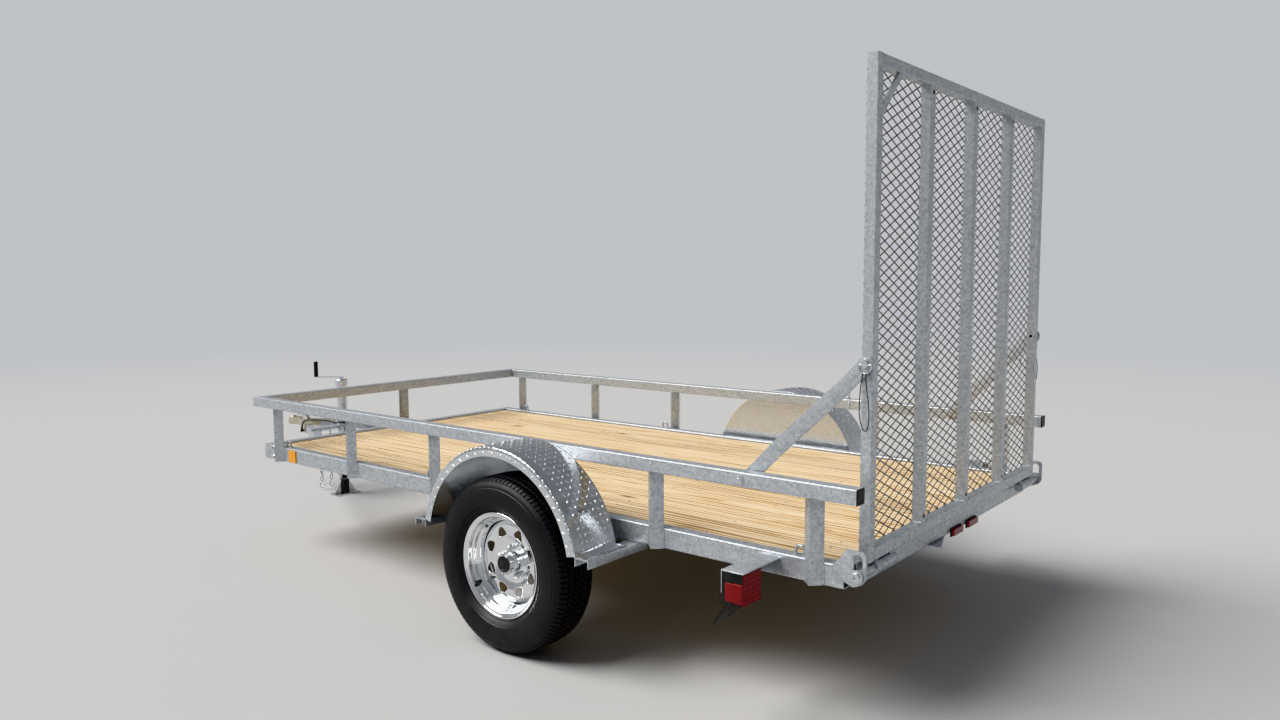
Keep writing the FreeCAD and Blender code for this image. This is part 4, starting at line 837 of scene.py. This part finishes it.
# blocks: from and to, across from the centre plane, and how high they stand on the carcass
TREAD_BANDS = ((0.0755, 0.0885, 0.0052), (0.0565, 0.0755, 0.0068), (0.0265, 0.0505, TREAD_RISE),
               (0.0045, 0.0215, TREAD_RISE))
# half the gap between blocks, the radius where the tread begins, and room inside the tyre's radius
BLOCK_INSET, TREAD_FOOT_R, TYRE_ROOM = 0.0026, 0.32, 0.0001


def tyre_piece(side, sign):
    """Carcass with raised tread blocks, slanted one way in each rib."""
    centre = Vector((AXLE.x, sign * AXLE.y, AXLE.z))
    half = list(SIDEWALL) + list(SHOULDER) + list(RIBS)
    outline = [(r, centre.y - y) for r, y in half] + [(r, centre.y + y) for r, y in reversed(half)]
    bm = ring_of(outline, centre, TREAD_STEPS)
    bmesh.ops.remove_doubles(bm, verts=bm.verts[:], dist=MERGE)
    step = math.tau / TREAD_STEPS
    for v in bm.verts:
        off = v.co.y - centre.y
        share = TREAD_SLANT.get(round(abs(off), 4), 0.0)
        if share:
            turn = Matrix.Rotation(share * step * (1 if off > 0 else -1), 4, "Y")
            v.co = centre + turn @ (v.co - centre)

    def in_band(face, low, high):
        place = face.calc_center_median() - centre
        return low < abs(place.y) < high and math.hypot(place.x, place.z) > TREAD_FOOT_R

    for low, high, rise in TREAD_BANDS:
        faces = [f for f in bm.faces if in_band(f, low, high)]
        bmesh.ops.inset_individual(bm, faces=faces, thickness=BLOCK_INSET, depth=0.0, use_even_offset=True)
        for f in faces:
            middle = f.calc_center_median()
            out = Vector((middle.x - centre.x, 0, middle.z - centre.z)).normalized()
            for v in f.verts:
                v.co += out * rise
    for v in bm.verts:
        arm = Vector((v.co.x - centre.x, 0, v.co.z - centre.z))
        if arm.length > TYRE_R - TYRE_ROOM:
            v.co -= arm.normalized() * (arm.length - TYRE_R + TYRE_ROOM)
    piece = finish_mesh(bm, "tyre_tread_" + side, TYRE_RUBBER, "wheel_" + side, sharp=28.0)
    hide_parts("tyre_" + side)


# Wheels, in millimetres
# radius and distance outwards from the wheel's centre plane, once round the barrel's section
BARREL = ((207, 79), (206.2, 81.6), (204, 83), (201, 82.2), (198.6, 79.6), (196.4, 77.6), (190.5, 76.6),
          (187.4, 74.6), (186.4, 70), (186.2, 60.5), (184.6, 56.5), (180.5, 53.5), (179, 50), (178.2, 44),
          (175.5, 39), (168, 32.5), (165, 28), (164.5, 22), (164.5, -12), (166.5, -17), (184, -38),
          (186.5, -43), (186.5, -77), (207, -81), (203.5, -73.4), (190.5, -66.2), (190.5, -42),
          (168.5, -14), (168.5, 28), (190.5, 56), (190.5, 66.2), (203.5, 73.4))
BARREL_STEPS = 112
# the disc's rings: radius, and how far the face lies behind the disc's front
DISC_RINGS = ((166, 19), (161.5, 11.5), (156, 5.6), (150.5, 2.4), (146.5, 0.9), (131, 0), (120, 0),
              (109, 1.4), (98, 6.4), (91, 10.2), (85, 12.9), (78, 14), (60, 14), (47, 14), (41.5, 14))
# the disc's front, outwards from the wheel's centre plane
DISC_FRONT = 23.5
# steps round the disc, and those from one hand hole to the next
DISC_STEPS, HOLE_PITCH = 64, 8
# the rings and the steps to either side that a hand hole takes out
HOLE_INNER, HOLE_OUTER, HOLE_REACH = 109, 131, 2
# a hole's corners, by ring and steps from its middle: distance from the wheel's middle, half width
HAND_HOLE = {(109, 0): (103.5, 0), (109, 1): (103.8, 13.5), (109, 2): (108, 24), (120, 2): (118.5, 20.5),
             (131, 2): (129.5, 13.5), (131, 1): (138.6, 6.6), (131, 0): (141, 0)}
DISC_WALL_M = 0.004


def disc_drop(radius):
    """How far the disc's face lies behind its front at a radius."""
    rings = DISC_RINGS[::-1]
    drop = rings[0][1]
    for (r0, a), (r1, b) in zip(rings, rings[1:]):
        if r0 <= radius + 0.01 and radius <= r1 + 0.01:
            drop = a + (b - a) * (radius - r0) / (r1 - r0)
    return drop


def wheel_barrel(side, sign):
    """Drop-centre barrel with its rolled edges."""
    centre = Vector((AXLE.x, sign * AXLE.y, AXLE.z))
    profile = [(r / 1000, centre.y + sign * y / 1000) for r, y in BARREL]
    bm = ring_of(profile + profile[:1], centre, BARREL_STEPS)
    barrel = finish_mesh(bm, "wheel_barrel_" + side, CHROME, "wheel_" + side, sharp=50.0)
    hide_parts("rim_" + side)


def wheel_disc(side, sign):
    """Dished disc with eight hand holes pressed through it."""
    centre = Vector((AXLE.x, sign * AXLE.y, AXLE.z))
    bm = bmesh.new()
    m = along((0, sign, 0), centre)
    back = m.inverted()
    lathe(bm, m, [(ring[0] / 1000, 0.0) for ring in DISC_RINGS], DISC_STEPS)
    bmesh.ops.remove_doubles(bm, verts=bm.verts[:], dist=MERGE)
    step = math.tau / DISC_STEPS
    pitch = HOLE_PITCH * step

    def polar(place):
        """Radius in millimetres, the nearest hole's angle and the steps from it."""
        q = back @ place
        angle = math.atan2(q.y, q.x)
        hole = (round(angle / pitch - 0.5) + 0.5) * pitch
        return math.hypot(q.x, q.y) * 1000, hole, (angle - hole) / step

    gone = []
    for face in bm.faces:
        r, hole, off = polar(face.calc_center_median())
        if HOLE_INNER < r < HOLE_OUTER and abs(off) < HOLE_REACH:
            gone.append(face)
    bmesh.ops.delete(bm, geom=gone, context="FACES")
    for v in bm.verts:
        r, hole, off = polar(v.co)
        key = (round(r), abs(round(off)))
        if key in HAND_HOLE:
            u, w = HAND_HOLE[key]
            w *= 1 if off > 0 else -1
            v.co = m @ (Matrix.Rotation(hole, 4, "Z") @ Vector((u / 1000, w / 1000, 0.0)))
            r = math.hypot(u, w)
        v.co += Vector((0, sign * (DISC_FRONT - disc_drop(r)) / 1000, 0))
    bmesh.ops.recalc_face_normals(bm, faces=bm.faces[:])
    if sum(f.normal.y * sign for f in bm.faces) < 0:
        bmesh.ops.reverse_faces(bm, faces=bm.faces[:])
    disc = finish_mesh(bm, "wheel_disc_" + side, CHROME, "wheel_" + side, sharp=60.0,
                       closed=False)
    wall = disc.modifiers.new("wall", "SOLIDIFY")
    wall.thickness = DISC_WALL_M
    wall.offset = -1.0
    soft = disc.modifiers.new("pressed", "SUBSURF")
    soft.levels = soft.render_levels = 1


# Wheel fittings
NUT_COUNT, NUT_CIRCLE_R = 5, 0.05715
# from the hub cap's end back to the wheel's disc, from there back to the nuts' seats, and into them
CAP_TO_DISC, DISC_TO_SEAT, NUT_SINK = 0.034, 0.014, 0.001
# parts of a nut, from its seat out: where each starts, its two radii, its depth and its sides
WHEEL_NUT = ((0.0, 0.0148, 0.0138, 0.003, 24), (0.003, 0.0118, 0.0118, 0.014, 6),
             (0.017, 0.0106, 0.0102, 0.004, 18), (0.021, 0.0102, 0.0045, 0.006, 18))
PIVOT_NUT = ((0.0, 0.0165, 0.0162, 0.0015, 28), (0.0015, 0.0129, 0.0129, 0.0068, 6),
             (0.0083, 0.0068, 0.0062, 0.003, 18))
# rubber plug in the hub cap: radius, height over the cap's end
HUB_PLUG = ((0.0305, -0.006), (0.0328, -0.004), (0.0328, 0.001), (0.0305, 0.0026), (0.0255, 0.0028),
            (0.0238, 0.0012), (0.013, 0.0014), (0.0085, 0.0026), (0.0, 0.0028))
# valve: the way it lies from the wheel's middle; radius and distance outwards at its root and tip
VALVE_WAY = Vector((0.125, 0, -0.087)).normalized()
VALVE_ROOT, VALVE_TIP = (0.172, 0.052), (0.152, 0.09)
VALVE_PARTS = ((0.0, 0.008, 0.0062, 0.012, 20), (0.012, 0.0048, 0.0042, 0.022, 16),
               (0.032, 0.0052, 0.0048, 0.012, 12))


def add_nut(bm, matrix, parts):
    """Nut or bolt end, its parts one above another on a matrix's own Z."""
    for start, r1, r2, depth, sides in parts:
        add_cone(bm, matrix @ Matrix.Translation((0, 0, start)), r1, r2, depth, sides)


def wheel_nuts(side, sign):
    """Five nuts on their circle, the first one at the top."""
    bm = bmesh.new()
    seat = HUB_END - CAP_TO_DISC - DISC_TO_SEAT - NUT_SINK
    for i in range(NUT_COUNT):
        a = math.radians(90 + 360 / NUT_COUNT * i)
        place = Vector((AXLE.x + NUT_CIRCLE_R * math.cos(a), sign * seat, AXLE.z + NUT_CIRCLE_R * math.sin(a)))
        add_nut(bm, along((0, sign, 0), place), WHEEL_NUT)
    finish_mesh(bm, "wheel_nuts_" + side, ZINC, "wheel_" + side)


def hub_cap_plug(side, sign):
    """Rubber plug in the end of the hub's cap."""
    bm = ring_of([(r, sign * (HUB_END + h)) for r, h in HUB_PLUG],
                 Vector((AXLE.x, sign * AXLE.y, AXLE.z)), steps=48)
    finish_mesh(bm, "hub_cap_plug_" + side, BLACK_RUBBER, "wheel_" + side)


def valve_stem(side, sign):
    """Short rubber valve that leans out of the wheel's dish."""
    root, tip = (Vector((AXLE.x, sign * (abs(AXLE.y) + out), AXLE.z)) + VALVE_WAY * r
                 for r, out in (VALVE_ROOT, VALVE_TIP))
    lean = (tip - root).normalized()
    bm = bmesh.new()
    for start, r1, r2, depth, sides in VALVE_PARTS:
        add_cone(bm, along(lean, root + lean * start), r1, r2, depth, sides)
    finish_mesh(bm, "valve_stem_" + side, BLACK_RUBBER, "wheel_" + side)


# Tread plate of the fenders
RELIEF = 0.0022
# lozenges: from one to the next, foot and crest radius, width as a share of length, and their sides
LOZENGE_PITCH = 0.0265
LOZENGE_FOOT, LOZENGE_CREST, LOZENGE_WIDTH, LOZENGE_SIDES = 0.0138, 0.0062, 0.34, 8
LOZENGE_SINK = 0.0002
# slant of the lozenges, one way and the other, on the top and skirt and on the rolled shoulder
SLANTS = (math.radians(-45), math.radians(45))
SHOULDER_SLANTS = (math.radians(102), math.radians(78))
# margin of the first row, drop of the skirt's row, place of the shoulder's, and room at the feet
ROW_MARGIN, SKIRT_DROP, SHOULDER_DROP, FOOT_ROOM = 0.014, 0.0265, 0.0037, 0.006


def fender_plate(side, sign):
    """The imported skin, drawn in by the height of its relief."""
    bm = bmesh.new()
    bm.from_mesh(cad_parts["fender_skin_" + side].data)
    bmesh.ops.remove_doubles(bm, verts=bm.verts[:], dist=MERGE_CAD)
    across = FENDER_HIGH.y - FENDER_LOW.y
    bmesh.ops.scale(bm, vec=(1.0, 1.0 - RELIEF / across, 1.0), verts=bm.verts[:],
                    space=Matrix.Translation((0, -sign * FENDER_LOW.y, 0)))
    # painted dark reflection: the plate takes the darker copy of the tread plate's finish
    skin = finish_mesh(bm, "fender_plate_" + side, TREAD_PLATE_PAINTED_DARK, "chassis", sharp=30.0)
    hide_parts("fender_skin_" + side)


def add_lozenge(bm, place, normal, across, turn):
    """Low raised lozenge on a surface: across is a direction in the surface, turn is its slant."""
    n = normal.normalized()
    a = (across - n * across.dot(n)).normalized()
    lie = Matrix((a, n.cross(a), n)).transposed().to_4x4()
    narrow = Matrix.Diagonal((1.0, LOZENGE_WIDTH, 1.0, 1.0))
    bmesh.ops.create_cone(bm, cap_ends=True, segments=LOZENGE_SIDES, radius1=LOZENGE_FOOT,
                          radius2=LOZENGE_CREST, depth=2 * RELIEF,
                          matrix=Matrix.Translation(place) @ lie @ Matrix.Rotation(turn, 4, "Z") @ narrow)


def tread_lozenges(side, sign):
    """Rows of lozenges that follow the arch, over its top, its shoulder and its skirt."""
    bm = bmesh.new()
    across = FENDER_HIGH.y - FENDER_LOW.y
    outer = FENDER_HIGH.y - RELIEF
    low = math.asin((FENDER_LOW.z + FOOT_ROOM - FENDER_Z) / FENDER_R)
    centre = Vector((AXLE.x, 0, FENDER_Z))
    out = Vector((0, sign, 0))
    steps = int((math.pi - 2 * low) * FENDER_R / LOZENGE_PITCH)
    rows = int((across - ROW_MARGIN) / LOZENGE_PITCH)

    def on_arch(up, depth, y):
        place = centre + up * (FENDER_R - depth)
        return Vector((place.x, sign * y, place.z))

    for i in range(steps + 1):
        angle = low + (math.pi - 2 * low) * (i + 0.5) / (steps + 1)
        up = Vector((math.cos(angle), 0, math.sin(angle)))
        for j in range(rows):
            y = FENDER_LOW.y + ROW_MARGIN + j * LOZENGE_PITCH
            add_lozenge(bm, on_arch(up, LOZENGE_SINK, y), up, out, SLANTS[(i + j) % 2])
        add_lozenge(bm, on_arch(up, SKIRT_DROP, outer - LOZENGE_SINK), out, up, SLANTS[(i + rows) % 2])
        add_lozenge(bm, on_arch(up, SHOULDER_DROP, outer - SHOULDER_DROP), up + out, up,
                    SHOULDER_SLANTS[i % 2])
    # painted highlights: the lozenges take the lighter copy of the tread plate's finish
    finish_mesh(bm, "tread_lozenges_" + side, TREAD_CRESTS_PAINTED_HIGHLIGHT, "chassis", sharp=50.0)


# Tail lamps: across from the inner to the outer end, and the lens
LAMP_INNER, LAMP_OUTER = 1.004, 1.116
LENS_X, LENS_Z, LENS_ROOM, LENS_EDGE = (-2.0985, -2.0602), (0.4085, 0.5155), 0.0005, 0.006
# grid of reflector squares on the lens: its middle, its size and count up and across, a square's rim
GRID_X, GRID_Y, GRID_Z = -2.0984, 1.06, 0.462
GRID_SIZE, GRID_COUNT, SQUARE_RIM = (0.094, 0.099), (6, 5), 0.0012
# on the lamp's outer side: x and z from and to, how far it stands out, its eased edge and its steps
LAMP_WINDOW = ((-2.0965, -2.0325), (0.421, 0.482), 0.0018, 0.0025, 3)
LAMP_BANDS = (((-2.0988, -2.031), (0.4865, 0.5158), 0.0019, 0.0015, 2),
              ((-2.0955, -2.031), (0.4105, 0.4175), 0.0012, 0.0015, 2))
SIDE_SINK = 0.001


def tail_lens(side, sign):
    """Lens with a grid of reflector squares behind."""
    y0, y1 = sorted((sign * LAMP_INNER, sign * LAMP_OUTER))
    bm = bmesh.new()
    add_slab(bm, (LENS_X[0], y0 + LENS_ROOM, LENS_Z[0]), (LENS_X[1], y1 - LENS_ROOM, LENS_Z[1]),
             LENS_EDGE, 3)
    turn = Matrix.Translation((GRID_X, sign * GRID_Y, GRID_Z)) @ Matrix.Rotation(math.radians(-90), 4, "Y")
    grid = bmesh.ops.create_grid(bm, x_segments=GRID_COUNT[0], y_segments=GRID_COUNT[1], size=0.5,
                                 matrix=turn @ Matrix.Diagonal((*GRID_SIZE, 1.0, 1.0)))
    squares = list({f for v in grid["verts"] for f in v.link_faces})
    bmesh.ops.recalc_face_normals(bm, faces=squares)
    if squares[0].normal.x > 0:
        bmesh.ops.reverse_faces(bm, faces=squares)
    bmesh.ops.inset_individual(bm, faces=squares, thickness=SQUARE_RIM, depth=SQUARE_RIM)
    return finish_mesh(bm, "tail_lens_" + side, RED_LENS, "chassis", sharp=30.0)


def add_side_slab(bm, sign, xs, zs, lift, bevel, segments):
    """Slab on a lamp's outer side, sunk a little into it."""
    outer = sign * LAMP_OUTER
    y0, y1 = sorted((outer - sign * SIDE_SINK, outer + sign * lift))
    add_slab(bm, (xs[0], y0, zs[0]), (xs[1], y1, zs[1]), bevel, segments)


def lamp_sides(side, sign):
    """Plain red window on the lamp's outer side, between two black bands."""
    bm = bmesh.new()
    add_side_slab(bm, sign, *LAMP_WINDOW)
    finish_mesh(bm, "tail_window_" + side, RED_LENS, "chassis", sharp=30.0)
    bm = bmesh.new()
    for band in LAMP_BANDS:
        add_side_slab(bm, sign, *band)
    finish_mesh(bm, "lamp_band_" + side, BLACK_PLASTIC, "chassis", sharp=30.0)


# Bolts, screws and small covers
CORNER_X, CORNER_Z, CORNER_BOLT = 1.062, (0.524, 0.475), 0.0095
# fender feet: forward and back from the axle, across the trailer, and the bolt's shank
FOOT_AHEAD, FOOT_BEHIND, FOOT_Y, FOOT_BOLT = 0.463, 0.468, (1.152, 1.0), 0.008
BRACKET_LEG = 0.0055
# coupler bolts stand square to the tongue tubes, whose faces start at this place
TONGUE_ANGLE, TONGUE_X, TONGUE_FACE_Y = math.radians(25.0), 2.1, 0.0815
COUPLER_BOLT_X, COUPLER_BOLT_Z, COUPLER_BOLT = (2.015, 2.075), 0.434, 0.011
SCREW_OFF, SCREW_SINK = 0.055, 0.001
# closure plates of the front sill: across, and how far their edges stay inside the sill's
CLOSURE_Y, CLOSURE_ROOM, CLOSURE_EDGE = (0.8905, 0.8928), 0.0012, 0.001
# washer of a hinge bolt: radius, height over the hinge's end; then the bolt's own head
HINGE_WASHER = ((0.0, -0.0005), (0.0206, -0.0005), (0.0212, 0.0006), (0.0204, 0.0018), (0.0145, 0.0026))
HINGE_SINK, HINGE_HEAD_START, HINGE_HEAD_R, HINGE_HEAD_RISE = 0.0005, 0.0018, 0.0142, 0.0085


def add_corner_bolts(bm, sign):
    """Rail bolts by the front corner, their shanks' ends showing."""
    for z in CORNER_Z:
        place = Vector((CORNER_X, sign * FRAME_HIGH.y, z))
        add_bolt(bm, place, (0, sign, 0), CORNER_BOLT)
        add_cone(bm, along((0, sign, 0), place), r1=0.0047, r2=0.0042, depth=0.0115, segments=14)


def add_foot_bolts(bm, sign):
    """Bolts down through the fender's feet, with their nuts under the brackets."""
    for x in (AXLE.x + FOOT_AHEAD, AXLE.x - FOOT_BEHIND):
        for y in FOOT_Y:
            add_bolt(bm, Vector((x, sign * y, FENDER_LOW.z + SKIN_T)), (0, 0, 1), FOOT_BOLT)
            under = Vector((x, sign * y, BRACKET_TOP - BRACKET_LEG))
            add_cone(bm, along((0, 0, -1), under), r1=0.004, r2=0.0036, depth=0.024, segments=12)
            add_bolt(bm, under, (0, 0, -1), FOOT_BOLT)


def add_coupler_bolts(bm, sign):
    """Bolts through the coupler's wings; the rear one on the left makes way for the lead's gland."""
    for x in COUPLER_BOLT_X:
        y = sign * (TONGUE_FACE_Y + (TONGUE_X - x) * math.tan(TONGUE_ANGLE))
        out = Vector((math.sin(TONGUE_ANGLE), sign * math.cos(TONGUE_ANGLE), 0.0))
        if sign < 0 or x > COUPLER_BOLT_X[0]:
            add_bolt(bm, Vector((x, y, COUPLER_BOLT_Z)), out, COUPLER_BOLT)


def frame_bolts():
    """All the bolts of the frame, in one piece."""
    bm = bmesh.new()
    for sign in (-1, 1):
        add_corner_bolts(bm, sign)
        add_foot_bolts(bm, sign)
        add_coupler_bolts(bm, sign)
    finish_mesh(bm, "frame_bolts", ZINC, "chassis")


def arm_pivot_nuts():
    """Nuts on the outer ends of the support arms' pivot bolts."""
    bm = bmesh.new()
    for sign in (1, -1):
        place = Vector((ARM_PIVOT.x, sign * ARM_PIVOT.y, ARM_PIVOT.z))
        add_nut(bm, along((0, sign, 0), place), PIVOT_NUT)
    finish_mesh(bm, "arm_pivot_nuts", ZINC, "chassis")


def deck_screws():
    """Two screws in each board over each crossmember."""
    bm = bmesh.new()
    for i in range(BOARD_COUNT):
        y = DECK_LOW.y + (i + 0.5) * BOARD_PITCH
        for x in CROSS_X:
            for off in (-SCREW_OFF, SCREW_OFF):
                add_cone(bm, along((0, 0, 1), Vector((x, y + off, DECK_HIGH.z - SCREW_SINK))),
                         r1=0.0052, r2=0.0048, depth=0.0014, segments=10)
    finish_mesh(bm, "deck_screws", ZINC, "chassis")


def sill_closures():
    """Flat plates in the front sill's open ends."""
    bm = bmesh.new()
    for sign in (-1, 1):
        y0, y1 = sorted(sign * y for y in CLOSURE_Y)
        add_slab(bm, (SILL_LOW.x + CLOSURE_ROOM, y0, SILL_LOW.z + CLOSURE_ROOM),
                 (SILL_HIGH.x - CLOSURE_ROOM, y1, SILL_HIGH.z - CLOSURE_ROOM), CLOSURE_EDGE, 2)
    finish_mesh(bm, "sill_closures", GALVANISED, "chassis")


def gate_hinge_bolts():
    """Socket-head bolt on a turned washer at each end of the gate's hinge line."""
    bm = bmesh.new()
    for sign in (1, -1):
        m = along((0, sign, 0), Vector((HINGE.x, sign * (HINGE.y - HINGE_SINK), HINGE.z)))
        lathe(bm, m, HINGE_WASHER, steps=36)
        add_socket_head(bm, m @ Matrix.Translation((0, 0, HINGE_HEAD_START)), HINGE_HEAD_R, HINGE_HEAD_RISE)
    finish_mesh(bm, "gate_hinge_bolts", ZINC, "gate", sharp=30.0)


# Studio
PALE = (0.56, 0.575, 0.6)
FLOOR_GREY, FLOOR_ROUGH, FLOOR_R = (0.5, 0.5, 0.5), 0.9, 60.0
# the floor turns into the backdrop between these distances from the trailer's middle
FADE_FROM, FADE_TO = 4.5, 17.0
# what lights the trailer from the sides and, about half as bright, from overhead
SURROUND, OVERHEAD = (0.42, 0.425, 0.435), (0.2, 0.21, 0.23)
LIGHT_ENERGY, LIGHT_SPREAD, LIGHT_TINT = 4.0, math.radians(40.0), (1.0, 0.98, 0.95)
# from the trailer towards the light
LIGHT_WAY = Vector((0.45, 0.45, 0.77))


def studio_floor():
    """Plain pale floor; the camera sees its far part fade into the backdrop."""
    bm = bmesh.new()
    bmesh.ops.create_circle(bm, cap_ends=True, segments=96, radius=FLOOR_R)
    material, tree, shader = new_material("studio_floor", Base_Color=FLOOR_GREY, Roughness=FLOOR_ROUGH)
    coord = tree.nodes.new("ShaderNodeTexCoord")
    length = value_of(tree, "ShaderNodeVectorMath", operation="LENGTH")
    tree.links.new(coord.outputs["Object"], length.inputs[0])
    glow = value_of(tree, "ShaderNodeEmission")
    glow.inputs["Color"].default_value = (*PALE, 1.0)
    blend = tree.nodes.new("ShaderNodeMixShader")
    away = value_of(tree, "ShaderNodeMapRange", From_Min=FADE_FROM, From_Max=FADE_TO,
                    interpolation_type="SMOOTHSTEP")
    tree.links.new(length.outputs["Value"], away.inputs["Value"])
    seen = tree.nodes.new("ShaderNodeLightPath").outputs["Is Camera Ray"]
    tree.links.new(maths(tree, "MULTIPLY", away.outputs["Result"], seen), blend.inputs["Fac"])
    tree.links.new(shader.outputs["BSDF"], blend.inputs[1])
    tree.links.new(glow.outputs["Emission"], blend.inputs[2])
    tree.links.new(blend.outputs["Shader"], tree.nodes["Material Output"].inputs["Surface"])
    floor = finish_mesh(bm, "studio_floor", material, None)


def studio_world():
    """Pale backdrop for the camera; light and reflections get a plain grey surround."""
    world = bpy.data.worlds.new("studio_world")
    world.use_nodes = True
    tree = world.node_tree
    coord = tree.nodes.new("ShaderNodeTexCoord")
    parts = tree.nodes.new("ShaderNodeSeparateXYZ")
    tree.links.new(coord.outputs["Generated"], parts.inputs["Vector"])
    grey = ramp(tree, parts.outputs["Z"], [(0.0, SURROUND), (1.0, OVERHEAD)])
    blend = value_of(tree, "ShaderNodeMixRGB", blend_type="MIX")
    blend.inputs["Color2"].default_value = (*PALE, 1.0)
    tree.links.new(tree.nodes.new("ShaderNodeLightPath").outputs["Is Camera Ray"], blend.inputs["Fac"])
    tree.links.new(grey, blend.inputs["Color1"])
    tree.links.new(blend.outputs["Color"], tree.nodes["Background"].inputs["Color"])
    tree.nodes["Background"].inputs["Strength"].default_value = 1.0
    bpy.context.scene.world = world
    bpy.context.scene.view_settings.view_transform = "Khronos PBR Neutral"


def key_light():
    """One broad, soft light, high up on the camera's left."""
    sun = bpy.data.lights.new("key_light", "SUN")
    sun.energy = LIGHT_ENERGY
    sun.angle = LIGHT_SPREAD
    sun.color = LIGHT_TINT
    lamp = bpy.data.objects.new("key_light", sun)
    lamp.rotation_mode = "QUATERNION"
    lamp.rotation_quaternion = LIGHT_WAY.to_track_quat("Z", "Y")
    bpy.context.scene.collection.objects.link(lamp)


# The trailer in its studio; the frame's plain parts get eased edges
EASED_EDGE = 0.0012
EASED_NODES = ("posts_left", "posts_right", "post_front", "hinge_plates", "lamp_brackets", "fender_brackets")

camera()
dress_nodes()
wiring_lead()
studio_floor()
studio_world()
key_light()
safety_chains()
tie_rings()
post_welds()
gate_welds()
eased(EASED_NODES, EASED_EDGE, GALVANISED, "chassis")
for side, sign in SIDES:
    tyre_piece(side, sign)
    wheel_barrel(side, sign)
    wheel_disc(side, sign)
    wheel_nuts(side, sign)
    hub_cap_plug(side, sign)
    valve_stem(side, sign)
    fender_plate(side, sign)
    tread_lozenges(side, sign)
    tail_lens(side, sign)
    lamp_sides(side, sign)
    pin_tethers(side, sign)
    eased(("support_arm_" + side,), EASED_EDGE, GALVANISED, "arm_" + side)
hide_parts("lamp_lenses")
frame_bolts()
arm_pivot_nuts()
deck_screws()
sill_closures()
gate_hinge_bolts()
